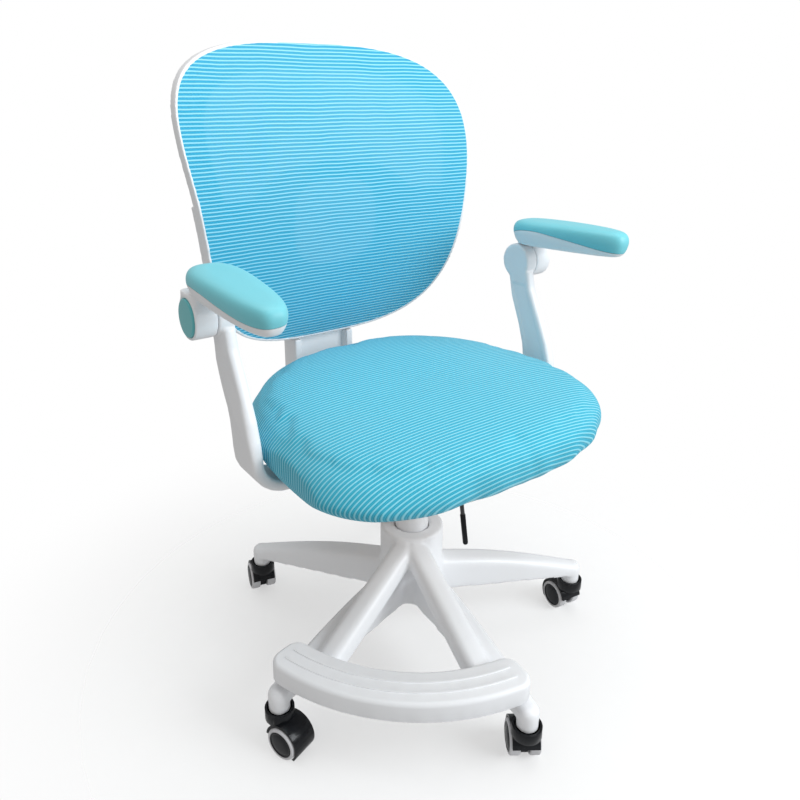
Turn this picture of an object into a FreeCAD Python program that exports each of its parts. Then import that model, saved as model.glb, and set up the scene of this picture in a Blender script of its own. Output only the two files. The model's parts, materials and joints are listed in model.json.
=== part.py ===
"""A child's study chair on a five-star base with castors, a gas lift, flip-up arms and a mesh back.

Millimetres, +Z up.  The sitter faces -Y.  The origin is on the swivel axis, at floor level.
The base is modelled with its footrest towards -Y and is then turned about the swivel axis by base_turn.
"""
import FreeCAD, Part
import math
import os

Vector = FreeCAD.Vector
Rotation = FreeCAD.Rotation
Placement = FreeCAD.Placement
UP = Vector(0, 0, 1)
ALONG_X = Rotation(Vector(0, 1, 0), 90)
ALONG_Y = Rotation(Vector(1, 0, 0), -90)
ORIGIN = Vector(0, 0, 0)

doc = FreeCAD.newDocument("StudyChair")
sheet = doc.addObject("Spreadsheet::Sheet", "Sizes")

SIZES = [
    # base
    ("floor_level", 6.5, "floor above the level that the heights below are measured from"),
    ("base_turn", -40.25, "angle of the footrest side of the base about the swivel axis"),
    ("leg_count", 5, "legs of the star"),
    ("leg_reach", 271.8, "swivel axis to a castor stem"),
    ("leg_root", 30, "where a leg's first section stands"),
    ("leg_root_width", 42, "leg width at the hub"),
    ("leg_end_width", 29.2, "leg width at the castor"),
    ("leg_root_top", 150, "height of the leg's top at the hub"),
    ("leg_end_top", 96.5, "height of the leg's top at the castor"),
    ("leg_root_under", 96, "height of the leg's lower edge at the hub"),
    ("leg_end_under", 78, "height of the leg's lower edge at the castor"),
    ("leg_wall", 4, "wall of the hollow legs"),
    ("leg_edge", 10, "rounding of a leg's top edges"),
    ("socket_radius", 14.1, "outside of the castor socket"),
    ("socket_foot", 63.2, "lower face of the castor socket"),
    ("stem_depth", 26, "depth of the stem's bore in the socket"),
    ("stem_bore", 5.5, "radius of the stem's bore in the socket"),
    ("hub_radius", 47.4, "hub collar"),
    ("hub_top", 211, "top of the hub"),
    ("hub_collar_foot", 148, "lower edge of the hub collar"),
    ("core_radius", 46, "hub below the collar"),
    ("tube_seat", 25.05, "radius of the hub's bore"),
    ("hub_recess", 26.5, "radius of the ring recess round the tube at the hub's top"),
    ("strut_width", 36, "width of the two struts that carry the footrest"),
    ("strut_depth", 34, "depth of a strut"),
    ("strut_edge", 13, "rounding of a strut"),
    ("strut_foot_x", 116, "end of a strut's middle line, to the side"),
    ("strut_foot_y", 210, "end of a strut's middle line, to the front"),
    ("strut_under", 86, "level underside of a strut's end"),
    ("screw_reach", 251, "swivel axis to a footrest screw in a leg"),
    ("screw_shank", 1.9, "footrest and back screw shanks"),
    ("screw_hole", 2, "footrest and back screw holes"),
    # footrest
    ("rest_inner", 246, "radius of the footrest's inner edge about its own centre"),
    ("rest_outer", 301, "radius of the footrest's outer edge about its own centre"),
    ("rest_centre", 30, "how far behind the swivel axis the footrest's centre lies"),
    ("rest_half_angle", 35, "half of the arc that the footrest covers"),
    ("rest_turn", -0.9, "small turn of the footrest about its own centre"),
    ("rest_top", 134, "top of the footrest"),
    ("rest_foot", 107, "lower edge of the footrest's skirt"),
    ("rest_wall", 4, "wall of the footrest"),
    ("rest_edge", 6, "rounding of the footrest's top edge"),
    ("rest_end_radius", 20, "rounding of the footrest's corners in plan"),
    ("rib_height", 1.2, "height of the two raised grip ribs"),
    ("rib_width", 3, "width of a grip rib"),
    # gas lift
    ("tube_radius", 25, "outside of the lift's outer tube"),
    ("tube_bore", 22.6, "inside of the lift's outer tube"),
    ("tube_foot", 108, "lower end of the outer tube"),
    ("tube_top", 322, "upper end of the outer tube"),
    ("tube_floor", 6, "thickness of the tube's floor"),
    ("rod_radius", 5, "piston rod"),
    ("rod_gap", 0.06, "radial clearance of the rod"),
    ("rod_foot", 100, "lower end of the piston rod"),
    ("rod_top", 300, "upper end of the piston rod"),
    ("gas_radius", 14, "gas cylinder"),
    ("gas_bore", 11.4, "inside of the gas cylinder"),
    ("gas_foot", 165, "lower end of the gas cylinder"),
    ("gas_top", 348, "upper end of the gas cylinder"),
    ("bush_foot", 262, "lower end of the guide bush"),
    ("bush_gap", 0.06, "radial clearance of the cylinder in its bush"),
    ("button_radius", 3, "valve button"),
    ("button_foot", 340, "lower end of the valve button"),
    ("button_top", 354, "upper end of the valve button"),
    # under the seat
    ("channel_half", 32, "half of the mechanism channel's inside width"),
    ("channel_wall", 4, "sheet of the mechanism"),
    ("channel_foot", 330, "underside of the mechanism channel"),
    ("flange_foot", 360, "underside of the mechanism's flanges"),
    ("flange_half", 95, "half width over the flanges"),
    ("channel_half_length", 84, "half length of the mechanism"),
    ("pan_foot", 364.3, "underside of the seat pan"),
    ("pan_top", 372, "top of the seat pan"),
    ("lever_pivot_y", -45, "lever pivot, in front of the swivel axis"),
    ("lever_pivot_z", 350, "height of the lever pivot"),
    ("lever_radius", 3, "lever rod"),
    ("pin_radius", 4, "lever pivot pin"),
    ("bolt_radius", 3.8, "bolt shank"),
    ("bolt_hole", 4, "bolt hole"),
    # seat
    ("seat_half_width", 238, "half width of the cushion"),
    ("seat_half_depth", 217, "half depth of the cushion"),
    ("seat_centre", -12.5, "centre of the cushion, front to back"),
    ("seat_square", 2.52, "squareness of the cushion's outline"),
    ("seat_taper", -0.137, "how much narrower the cushion is at the back"),
    ("seat_rim", 401, "height of the cushion's widest line"),
    ("seat_crown", 45.3, "height of the crown over the widest line"),
    ("seat_dome", 4.2, "squareness of the cushion's upper side"),
    ("seat_belly", 1.8, "squareness of the cushion's lower side"),
    ("seat_belly_depth", 75, "depth that the lower side would have if it were not flat underneath"),
    ("seat_foot", 372.3, "underside of the cushion"),
    ("seat_slope", 0.0395, "rise of the cushion towards the back"),
    # arms
    ("arm_inner", 249, "inner face of an arm"),
    ("arm_thick", 17, "thickness of an arm's blade"),
    ("arm_middle", 257.5, "distance from the middle of an arm's blade"),
    ("arm_elbow", 215, "distance from the middle of the centre of an arm's bend"),
    ("arm_foot_thick", 14, "thickness of an arm under the seat"),
    ("arm_foot_wide", 60, "width of an arm under the seat"),
    ("arm_edge", 6, "rounding of an arm"),
    ("arm_foot_y", 2, "middle of an arm under the seat, front to back"),
    ("arm_tip", 115, "inner end of an arm, under the seat"),
    ("arm_boss_outer", 270.5, "outer face of an arm's boss"),
    ("hinge_y", 58.9, "armrest hinge, behind the swivel axis"),
    ("hinge_z", 571.5, "height of the armrest hinge"),
    ("boss_radius", 27.9, "bosses at the armrest hinge"),
    ("pad_boss_inner", 271.5, "inner face of the pad's boss"),
    ("pad_boss_outer", 301, "outer face of the pad's boss"),
    ("cap_seat", 296, "bottom of the recess that the cap sits in"),
    ("neck_corner", 9, "corners of the neck between a boss and its pad's shell"),
    ("cap_radius", 24, "cap on the pad's boss"),
    ("cap_outer", 302.4, "outer face of the cap"),
    ("hinge_pin", 6, "radius of the armrest hinge pin"),
    ("pad_centre_x", 273, "centre line of an armrest"),
    ("pad_centre_y", -30, "middle of an armrest, front to back"),
    ("pad_half_length", 101, "half length of an armrest"),
    ("pad_half_width", 33, "half width of an armrest"),
    ("pad_square", 3.0, "squareness of an armrest's outline"),
    ("pad_taper", 0.22, "how much wider an armrest is at the rear than at its middle, as a share"),
    ("pad_toe", 1.4, "turn of an armrest's front end towards the middle"),
    ("pad_tip_right", -2.2, "tip of the right armrest about its hinge"),
    ("pad_tip_left", 2.3, "tip of the left armrest about its hinge"),
    ("pad_foot", 599, "underside of the armrest shell"),
    ("pad_split", 615, "joint of the pad and its shell"),
    ("pad_top", 636.5, "top of the pad"),
    # back
    ("back_half_width", 230.2, "half width of the mesh"),
    ("back_half_height", 225.6, "half height of the mesh"),
    ("back_middle", 675.9, "height of the mesh's middle"),
    ("back_taper", 0.1485, "how much wider the mesh is at the top"),
    ("back_belly", 0.2312, "how much wider the mesh is away from its middle"),
    ("back_square_x", 2.884, "squareness of the sides"),
    ("back_square_z", 2.389, "squareness of the top and bottom"),
    ("back_set", 175.7, "distance of the mesh's middle behind the swivel axis"),
    ("back_lean", 0.062, "backward lean"),
    ("back_curve", 0.001528, "curve of the side profile"),
    ("back_wrap", 0.0002, "forward wrap of the sides"),
    ("frame_bead", 3.6, "frame visible round the mesh"),
    ("frame_band", 38, "width of the frame behind the mesh"),
    ("frame_deep", 19, "depth of the frame"),
    ("frame_lip", 1.5, "how far the bead stands in front of the mesh"),
    ("mesh_thick", 1.7, "mesh fabric"),
    ("gap", 0.3, "clearance between pieces that only touch"),
    ("support_deep", 13, "thickness of the back support"),
    ("support_shoulder", 684, "height of the back support's shoulders"),
    ("support_arch_half", 158, "half width of the back support's arch"),
    ("support_arch_top", 731, "top of the arch"),
    ("window_half", 75, "half width of the back support's window"),
    ("window_foot", 575, "lower edge of the window"),
    ("window_top", 705, "upper edge of the window"),
    ("upright_half", 56, "half width of the back upright"),
    ("upright_front", 264.8, "front face of the back upright behind the back frame"),
    ("upright_low_front", 246, "front face of the back upright below the back frame"),
    ("upright_step", 443, "height at which the upright's front steps back"),
    ("upright_rear", 288, "rear face of the back upright"),
    ("upright_top", 520, "top of the back upright"),
    ("upright_foot", 346, "underside of the back upright"),
    ("upright_start", 118, "front end of the back upright, under the seat"),
    # castors
    ("trail", 17, "wheel axle behind the castor stem"),
    ("axle_height", 28.5, "castor axle"),
    ("wheel_radius", 22, "wheel over the tyre"),
    ("core_wheel_radius", 17.6, "wheel disc inside the tyre"),
    ("wheel_inside", 6, "inner face of a wheel from the castor's middle"),
    ("tyre_outside", 20.5, "outer face of a tyre"),
    ("disc_outside", 22, "outer face of a wheel disc"),
    ("hood_radius", 26, "outside of the castor's hood"),
    ("hood_half", 18, "half width of the hood"),
    ("hood_foot", 13, "lower edge of the hood behind the stem"),
    ("hood_front_foot", 32, "lower edge of the hood in front of the stem"),
    ("hood_clear", 22.9, "inside of the hood"),
    ("web_half", 5.3, "half thickness of the hood's middle web"),
    ("collar_radius", 19.5, "collar round the leg's socket"),
    ("collar_top", 66, "top of the collar"),
    ("collar_recess", 16.4, "radius of the collar's recess"),
    ("collar_floor", 57, "floor of the collar's recess"),
    ("boss_foot", 45, "lower end of the stem's bearing"),
    ("axle_radius", 3, "castor axle"),
    ("screw_head", 3.6, "heads of the footrest's screws"),
    ("screw_head_hole", 3.8, "counterbores for the footrest's screws"),
    ("screw_boss", 5.5, "bosses for the footrest's screws"),
    ("bearing_radius", 14, "thrust bearing under the lift"),
    ("bearing_height", 8, "height of the thrust bearing"),
    ("clip_radius", 9, "clip and shoulder on the piston rod"),
    ("bolt_head", 6.4, "heads of the bolts under the seat"),
    ("bolt_head_height", 4.2, "height of those heads"),
    ("flange_thick", 4, "thickness of the lift plate's flanges"),
    ("cone_radius", 19, "seat of the lift's upper end in the plate"),
    ("cone_height", 16, "height of that seat"),
    ("pan_share", 0.86, "size of the pan against the cushion"),
    ("lever_bend", 14, "bend of the lever's rod"),
    ("lever_bar_wide", 12, "width of the lever's flat end"),
    ("lever_bar_long", 58, "length of the lever's flat end"),
    ("lever_eye", 7.5, "eye of the lever on its pivot"),
    ("grip_radius", 3.8, "sleeve on the lever"),
    ("grip_length", 45, "length of the sleeve"),
    ("grip_bore", 3.1, "bore of the sleeve's mouth"),
    ("upright_inner_bend", 16, "inner bend of the upright"),
    ("upright_outer_bend", 42, "outer bend of the upright"),
    ("upright_rib", 12, "side ribs of the upright's hollow"),
    ("upright_wrap", 7, "wall of the socket round the upright"),
    ("back_screw_head", 4, "heads of the back's screws"),
    ("back_screw_recess", 4.6, "counterbores for the back's screws"),
    ("hood_bearing", 13.5, "stem bearing of a castor's hood"),
    ("axle_half", 20, "half length of a castor's axle"),
    ("axle_recess", 20.4, "end of the axle's bore in a disc"),
    ("stem_flange", 9, "flange of a castor's stem"),
    ("beyond", 300, "further than any part reaches from the middle"),
    ("running", 0.05, "radial clearance of a running fit"),
]

for row, (alias, value, note) in enumerate(SIZES, start=1):
    sheet.set("A%d" % row, note)
    sheet.set("B%d" % row, str(value))
    sheet.setAlias("B%d" % row, alias)
doc.recompute()

nodes = []


def size(alias):
    """A driving dimension, read from the sheet."""
    return float(getattr(sheet, alias))


def bind(thing, bindings):
    """Bind an object's properties to expressions on the sheet."""
    for path, expression in bindings.items():
        thing.setExpression(path, expression)
    return thing


def node(thing, label):
    """Name a finished sub-part and set it down on the floor."""
    thing.Label = label
    thing.Placement.Base.z -= size("floor_level")
    nodes.append(thing)
    return thing


def cylinder(name, radius, height, at=("0", "0", "0"), turn=None):
    """A cylinder whose sizes and place are expressions."""
    thing = doc.addObject("Part::Cylinder", name)
    if turn is not None:
        thing.Placement = Placement(ORIGIN, turn)
    places = {"Placement.Base." + key: text for key, text in zip("xyz", at)}
    return bind(thing, {"Radius": radius, "Height": height, **places})


def box(name, length, width, height, at):
    """A box whose sizes and lowest corner are expressions."""
    thing = doc.addObject("Part::Box", name)
    places = {"Placement.Base." + key: text for key, text in zip("xyz", at)}
    return bind(thing, {"Length": length, "Width": width, "Height": height, **places})


def fuse(name, things):
    thing = doc.addObject("Part::MultiFuse", name)
    thing.Shapes = things
    thing.Refine = True
    return thing


def cut(name, base, tool):
    thing = doc.addObject("Part::Cut", name)
    thing.Base = base
    thing.Tool = tool
    return thing


def together(name, things):
    """Separate solids that share one node, such as a set of bolts."""
    thing = doc.addObject("Part::Compound", name)
    thing.Links = things
    return thing


def shaped(name, shape, place=None):
    """A feature whose shape is worked out from the sheet in this file."""
    thing = doc.addObject("Part::Feature", name)
    thing.Shape = shape
    if place is not None:
        thing.Placement = place
    return thing


def closed_curve(points):
    """A smooth closed wire through points."""
    curve = Part.BSplineCurve()
    curve.interpolate(points, PeriodicFlag=True)
    return Part.Wire(curve.toShape())


def turns(count):
    """Angles evenly round a full turn."""
    return [2 * math.pi * step / count for step in range(count)]


def power(value, exponent):
    """A signed power, which squares off an ellipse."""
    return math.copysign(abs(value) ** exponent, value)


def loft(wires, straight=False):
    """A solid through closed outlines, with straight or smooth sides between them."""
    return Part.makeLoft(wires, True, straight)


def rounded_bar(width, depth, edge):
    """A closed outline in X and Y, rounded at its four corners, centred on the origin."""
    w, d = width / 2, depth / 2
    corners = [(w, d, 0), (-w, d, 90), (-w, -d, 180), (w, -d, 270)]
    edges = []
    last = None
    first = None
    for x, y, start in corners:
        cx = x - math.copysign(edge, x)
        cy = y - math.copysign(edge, y)
        arc = [Vector(cx + edge * math.cos(math.radians(a)), cy + edge * math.sin(math.radians(a)), 0)
               for a in (start, start + 45, start + 90)]
        if last is not None:
            edges.append(Part.LineSegment(last, arc[0]).toShape())
        edges.append(Part.Arc(*arc).toShape())
        last = arc[2]
        first = first or arc[0]
    edges.append(Part.LineSegment(last, first).toShape())
    return Part.Wire(edges)


def frame_at(centre, across, thick):
    """The placement that stands an outline at a centre, its X along across and its Y along thick."""
    across = Vector(across)
    thick = Vector(thick)
    across.normalize()
    normal = across.cross(thick)
    normal.normalize()
    thick = normal.cross(across)
    return Placement(centre, Rotation(across, thick, normal, "ZXY"))


def moved(wire, place):
    copy = wire.copy()
    copy.Placement = place
    return copy


# ---------------------------------------------------------------- base


def leg_section(reach, share, grow):
    """One cross-section of a leg, flat underneath and rounded above; share is 0 at the hub and 1 at the end."""
    def between(root, end):
        return size(root) + (size(end) - size(root)) * share
    half = between("leg_root_width", "leg_end_width") / 2 + grow
    top = between("leg_root_top", "leg_end_top") + 7 * math.sin(math.pi * share) + grow
    under = between("leg_root_under", "leg_end_under") + 1.5 * math.sin(math.pi * share)
    if grow < 0:
        under -= 3
    edge = size("leg_edge") + grow
    y = -reach
    slope = edge * math.sqrt(0.5)
    left = Vector(-half, y, top - edge)
    left_mid = Vector(-half + edge - slope, y, top - edge + slope)
    left_top = Vector(-half + edge, y, top)
    right_top = Vector(half - edge, y, top)
    right_mid = Vector(half - edge + slope, y, top - edge + slope)
    right = Vector(half, y, top - edge)
    foot_right = Vector(half, y, under)
    foot_left = Vector(-half, y, under)
    return Part.Wire([
        Part.LineSegment(foot_left, left).toShape(),
        Part.Arc(left, left_mid, left_top).toShape(),
        Part.LineSegment(left_top, right_top).toShape(),
        Part.Arc(right_top, right_mid, right).toShape(),
        Part.LineSegment(right, foot_right).toShape(),
        Part.LineSegment(foot_right, foot_left).toShape(),
    ])


def leg_body(grow, first, last):
    """The leg's outer form towards -Y, or its hollow when grow is negative."""
    shares = [first + (last - first) * step / 4 for step in range(5)]
    start = size("leg_root")
    run = size("leg_reach") - start
    return loft([leg_section(start + run * share, share, grow) for share in shares])


def leg_end(grow):
    """The rounded end: half of the last section, turned about the castor stem's axis."""
    half = size("leg_end_width") / 2 + grow
    top = size("leg_end_top") + grow
    edge = size("leg_edge") + grow
    under = size("leg_end_under")
    slope = edge * math.sqrt(0.5)
    side = Vector(half, 0, top - edge)
    middle = Vector(half - edge + slope, 0, top - edge + slope)
    crown = Vector(half - edge, 0, top)
    profile = Part.Wire([
        Part.LineSegment(Vector(0, 0, under), Vector(half, 0, under)).toShape(),
        Part.LineSegment(Vector(half, 0, under), side).toShape(),
        Part.Arc(side, middle, crown).toShape(),
        Part.LineSegment(crown, Vector(0, 0, top)).toShape(),
        Part.LineSegment(Vector(0, 0, top), Vector(0, 0, under)).toShape(),
    ])
    end = Part.Face(profile).revolve(ORIGIN, UP, 360)
    end.translate(Vector(0, -size("leg_reach"), 0))
    return end


def strut_line(side):
    """The two ends of a strut's middle line.  side is -1 or 1."""
    return Vector(side * 6.3, -40, 190), Vector(side * size("strut_foot_x"), -size("strut_foot_y"), 92)


def strut_body(side, grow):
    """A strut from the hub's front down to the footrest, level under its end."""
    top, foot = strut_line(side)
    path = foot - top
    across = Vector(-path.y * side, path.x * side, 0)
    outline = rounded_bar(size("strut_width") + 2 * grow, size("strut_depth") + 2 * grow,
                          size("strut_edge") + grow)
    lift = across.cross(path)
    strut = loft([moved(outline, frame_at(centre, across, lift)) for centre in (top, foot)])
    under = size("strut_under") - grow
    return strut.cut(Part.makeBox(400, 400, 100, Vector(-200, -400, under - 100)))


def leg_angles():
    step = 360 / size("leg_count")
    return [step / 2 + step * count for count in range(int(size("leg_count")))]


def turned(shape, angle):
    copy = shape.copy()
    copy.rotate(ORIGIN, UP, angle)
    return copy


def largest(shape):
    """The largest solid of a shape, without the crumbs a cut can leave."""
    return max(shape.Solids, key=lambda solid: solid.Volume)


def screw_spots():
    """Where the footrest's four screws stand: one in each front leg and one in each strut."""
    spots = []
    for side in (-1, 1):
        angle = math.radians(side * leg_angles()[0])
        spots.append(Vector(size("screw_reach") * math.sin(angle), -size("screw_reach") * math.cos(angle), 0))
        foot = strut_line(side)[1]
        spots.append(Vector(foot.x - side * 5, foot.y + 8, 0))
    return spots


def upright_cylinder(spot, radius, foot, top):
    return Part.makeCylinder(radius, top - foot, Vector(spot.x, spot.y, foot))


def screw(spot):
    """A screw from below, through a leg or strut into the footrest's boss."""
    foot = size("strut_under")
    shank = upright_cylinder(spot, size("screw_shank"), foot + 1, size("rest_top") - size("rest_wall"))
    head = upright_cylinder(spot, size("screw_head"), foot - 1.2, foot + 2)
    return shank.fuse(head)


def screw_holes(hole, head_hole):
    foot = size("strut_under")
    holes = []
    for spot in screw_spots():
        holes.append(upright_cylinder(spot, hole, foot - 30, size("rest_top") - size("rest_wall") + 0.2))
        holes.append(upright_cylinder(spot, head_hole, foot - 30, foot + 2.1))
    return holes[0].multiFuse(holes[1:])


def base_legs():
    """The five hollow legs, each with its castor socket, and the two struts."""
    reach = size("leg_reach")
    socket = Part.makeCylinder(size("socket_radius"), size("leg_end_under") + 8 - size("socket_foot"),
                               Vector(0, -reach, size("socket_foot")))
    outer = leg_body(0, 0, 1).multiFuse([leg_end(0), socket])
    hollow = leg_body(-size("leg_wall"), 0.1, 0.88)
    bore = Part.makeCylinder(size("stem_bore"), size("stem_depth"), Vector(0, -reach, size("socket_foot")))
    leg = outer.cut(hollow).cut(bore)
    legs = [turned(leg, angle) for angle in leg_angles()]
    struts = [strut_body(side, 0) for side in (-1, 1)]
    return legs[0].multiFuse(legs[1:] + struts).cut(screw_holes(size("screw_hole"), size("screw_head_hole")))


base_place = Placement(ORIGIN, Rotation(UP, size("base_turn")))

collar = cylinder("HubCollar", "Sizes.hub_radius", "Sizes.hub_top - Sizes.hub_collar_foot",
                  ("0", "0", "Sizes.hub_collar_foot"))
core = cylinder("HubCore", "Sizes.core_radius", "Sizes.hub_collar_foot + 2 - Sizes.leg_root_under",
                ("0", "0", "Sizes.leg_root_under"))
legs = shaped("Legs", base_legs())
star_solid = fuse("StarSolid", [collar, core, legs])
tube_bore = cylinder("TubeSeat", "Sizes.tube_seat", "Sizes.hub_top", ("0", "0", "50"))
ring_recess = cylinder("RingRecess", "Sizes.hub_recess", "10", ("0", "0", "Sizes.hub_top - 6"))
base_star = cut("Star", star_solid, fuse("StarBores", [tube_bore, ring_recess]))
base_star.Placement = base_place
bind(base_star, {"Placement.Rotation.Angle": "Sizes.base_turn"})
node(base_star, "base_star")


# ---------------------------------------------------------------- footrest


def arc_band(inner, outer, half_angle, foot, top, corner):
    """A band between two arcs about the footrest's own centre, with rounded corners in plan."""
    centre = Vector(0, size("rest_centre"), foot)

    def at(radius, angle):
        turn = math.radians(angle + size("rest_turn"))
        return centre + Vector(radius * math.sin(turn), -radius * math.cos(turn), 0)

    outer_arc = Part.Arc(at(outer, -half_angle), at(outer, 0), at(outer, half_angle)).toShape()
    inner_arc = Part.Arc(at(inner, half_angle), at(inner, 0), at(inner, -half_angle)).toShape()
    right = Part.LineSegment(at(outer, half_angle), at(inner, half_angle)).toShape()
    left = Part.LineSegment(at(inner, -half_angle), at(outer, -half_angle)).toShape()
    band = Part.Face(Part.Wire([outer_arc, right, inner_arc, left])).extrude(Vector(0, 0, top - foot))
    if corner <= 0:
        return band
    uprights = [edge for edge in band.Edges
                if abs(edge.Vertexes[0].Z - edge.Vertexes[-1].Z) > (top - foot) / 2]
    return band.makeFillet(corner, uprights)


def footrest_band():
    """The hollow band with its two grip ribs, open underneath."""
    inner, outer = size("rest_inner"), size("rest_outer")
    foot, top = size("rest_foot"), size("rest_top")
    wall, half_angle = size("rest_wall"), size("rest_half_angle")
    band = arc_band(inner, outer, half_angle, foot, top, size("rest_end_radius"))
    rim = [edge for edge in band.Edges if all(abs(v.Z - top) < 0.01 for v in edge.Vertexes)]
    band = band.makeFillet(size("rest_edge"), rim)
    inside_angle = half_angle - math.degrees(wall / inner)
    hollow = arc_band(inner + wall, outer - wall, inside_angle, foot - 1, top - wall,
                      size("rest_end_radius") - wall)
    band = band.cut(hollow)
    for share in (0.36, 0.66):
        radius = inner + (outer - inner) * share
        half = size("rib_width") / 2
        rib = arc_band(radius - half, radius + half, half_angle - 3.5, top - 1,
                       top + size("rib_height"), 0)
        band = band.fuse(rib)
    return band


def footrest_reliefs():
    """The room that the struts and front legs take up under the footrest."""
    gap = size("gap")
    reliefs = [strut_body(side, gap) for side in (-1, 1)]
    for angle in (leg_angles()[0], leg_angles()[-1]):
        reliefs.append(turned(leg_body(gap, 0, 1), angle))
        reliefs.append(turned(leg_end(gap), angle))
    return reliefs[0].multiFuse(reliefs[1:])


def footrest_bosses():
    foot = size("rest_foot") - 6
    return [upright_cylinder(spot, size("screw_boss"), foot, size("rest_top") - 1) for spot in screw_spots()]


rest_hollow = footrest_band().multiFuse(footrest_bosses())
rest_holes = screw_holes(size("screw_hole"), size("screw_hole"))
rest_shape = largest(rest_hollow.cut(footrest_reliefs()).cut(rest_holes))
footrest = node(shaped("Footrest", rest_shape, base_place), "footrest")
screws = Part.makeCompound([screw(spot) for spot in screw_spots()])
node(shaped("FootrestScrews", screws, base_place), "footrest_screws")


# ---------------------------------------------------------------- gas lift

tube_outer = cylinder("TubeOuter", "Sizes.tube_radius", "Sizes.tube_top - Sizes.tube_foot",
                      ("0", "0", "Sizes.tube_foot"))
tube_inside = cylinder("TubeInside", "Sizes.tube_bore", "Sizes.tube_top - Sizes.tube_foot",
                       ("0", "0", "Sizes.tube_foot + Sizes.tube_floor"))
tube_eye = cylinder("TubeEye", "Sizes.rod_radius + Sizes.rod_gap", "20", ("0", "0", "Sizes.tube_foot - 5"))
node(cut("Tube", tube_outer, fuse("TubeBores", [tube_inside, tube_eye])), "column_tube")

bush_body = cylinder("BushBody", "Sizes.tube_bore - 0.05", "Sizes.tube_top - Sizes.bush_foot",
                     ("0", "0", "Sizes.bush_foot"))
bush_flange = cylinder("BushFlange", "Sizes.tube_radius - 1", "3", ("0", "0", "Sizes.tube_top + 0.05"))
bush_bore = cylinder("BushBore", "Sizes.gas_radius + Sizes.bush_gap", "80", ("0", "0", "Sizes.bush_foot - 5"))
bush_solid = fuse("BushSolid", [bush_body, bush_flange, cylinder(
    "BushNeck", "Sizes.tube_bore - 0.05", "1", ("0", "0", "Sizes.tube_top - 0.5"))])
node(cut("Bush", bush_solid, bush_bore), "column_bushing")

bearing_disc = cylinder("BearingDisc", "Sizes.bearing_radius", "Sizes.bearing_height",
                        ("0", "0", "Sizes.tube_foot + Sizes.tube_floor + 0.05"))
bearing_eye = cylinder("BearingEye", "Sizes.rod_radius + 0.1", "20", ("0", "0", "Sizes.tube_foot"))
node(cut("Bearing", bearing_disc, bearing_eye), "thrust_bearing")

rod = cylinder("Rod", "Sizes.rod_radius", "Sizes.rod_top - Sizes.rod_foot", ("0", "0", "Sizes.rod_foot"))
rod_clip = cylinder("RodClip", "Sizes.clip_radius", "3", ("0", "0", "Sizes.tube_foot - 3.4"))
rod_shoulder = cylinder("RodShoulder", "Sizes.clip_radius", "4",
                        ("0", "0", "Sizes.tube_foot + Sizes.tube_floor + Sizes.bearing_height + 0.4"))
node(fuse("PistonRod", [rod, rod_clip, rod_shoulder]), "piston_rod")

gas_outer = cylinder("GasOuter", "Sizes.gas_radius", "Sizes.gas_top - Sizes.gas_foot",
                     ("0", "0", "Sizes.gas_foot"))
gas_inside = cylinder("GasInside", "Sizes.gas_bore", "Sizes.button_foot - Sizes.gas_foot - 14",
                      ("0", "0", "Sizes.gas_foot + 6"))
gas_seal = cylinder("GasSeal", "Sizes.rod_radius + Sizes.rod_gap", "20", ("0", "0", "Sizes.gas_foot - 5"))
gas_valve = cylinder("GasValve", "Sizes.button_radius + Sizes.running", "40",
                     ("0", "0", "Sizes.button_foot - 12"))
node(cut("GasCylinder", gas_outer, fuse("GasBores", [gas_inside, gas_seal, gas_valve])), "gas_cylinder")

button = cylinder("Button", "Sizes.button_radius", "Sizes.button_top - Sizes.button_foot",
                  ("0", "0", "Sizes.button_foot"))
node(together("ValveButton", [button]), "valve_button")


# ---------------------------------------------------------------- mechanism, seat pan, bolts

FLANGE_BOLTS = [(78, -70), (78, 70), (-78, -70), (-78, 70)]
ARM_BOLTS = [(135, -12), (175, -12), (135, 16), (175, 16)]
UPRIGHT_BOLTS = [(40, 140), (-40, 140), (40, 165), (-40, 165)]


def bolt_spots():
    arms = ARM_BOLTS + [(-x, y) for x, y in ARM_BOLTS]
    return [Vector(x, y, 0) for x, y in FLANGE_BOLTS + arms + UPRIGHT_BOLTS]


def bolt_foot(spot):
    """The face that a bolt's head bears on."""
    if abs(spot.x) > size("flange_half"):
        return size("pan_foot") - size("gap") - size("arm_foot_thick")
    if spot.y > size("upright_start"):
        return size("upright_foot")
    return size("flange_foot")


def bolt(spot):
    foot = bolt_foot(spot)
    head = upright_cylinder(spot, size("bolt_head"), foot - size("bolt_head_height"), foot - 0.05)
    shank = upright_cylinder(spot, size("bolt_radius"), foot - 1, size("pan_top") - 1.5)
    return head.fuse(shank)


def bolt_holes():
    foot, top = size("channel_foot"), size("pan_top") - 1.4
    holes = [upright_cylinder(spot, size("bolt_hole"), foot, top) for spot in bolt_spots()]
    return holes[0].multiFuse(holes[1:])


channel_outer = box("ChannelOuter", "2 * (Sizes.channel_half + Sizes.channel_wall)",
                    "2 * Sizes.channel_half_length", "Sizes.flange_foot + Sizes.flange_thick - Sizes.channel_foot",
                    ("-Sizes.channel_half - Sizes.channel_wall", "-Sizes.channel_half_length",
                     "Sizes.channel_foot"))
channel_inside = box("ChannelInside", "2 * Sizes.channel_half", "2 * Sizes.channel_half_length + 20", "60",
                     ("-Sizes.channel_half", "-Sizes.channel_half_length - 10",
                      "Sizes.channel_foot + Sizes.channel_wall"))
flanges = box("Flanges", "2 * Sizes.flange_half", "2 * Sizes.channel_half_length", "Sizes.flange_thick",
              ("-Sizes.flange_half", "-Sizes.channel_half_length", "Sizes.flange_foot"))
cone_seat = cylinder("ConeSeat", "Sizes.cone_radius", "Sizes.cone_height", ("0", "0", "Sizes.channel_foot"))
cone_bore = cylinder("ConeBore", "Sizes.gas_radius + 0.05", "40", ("0", "0", "Sizes.channel_foot - 10"))
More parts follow.
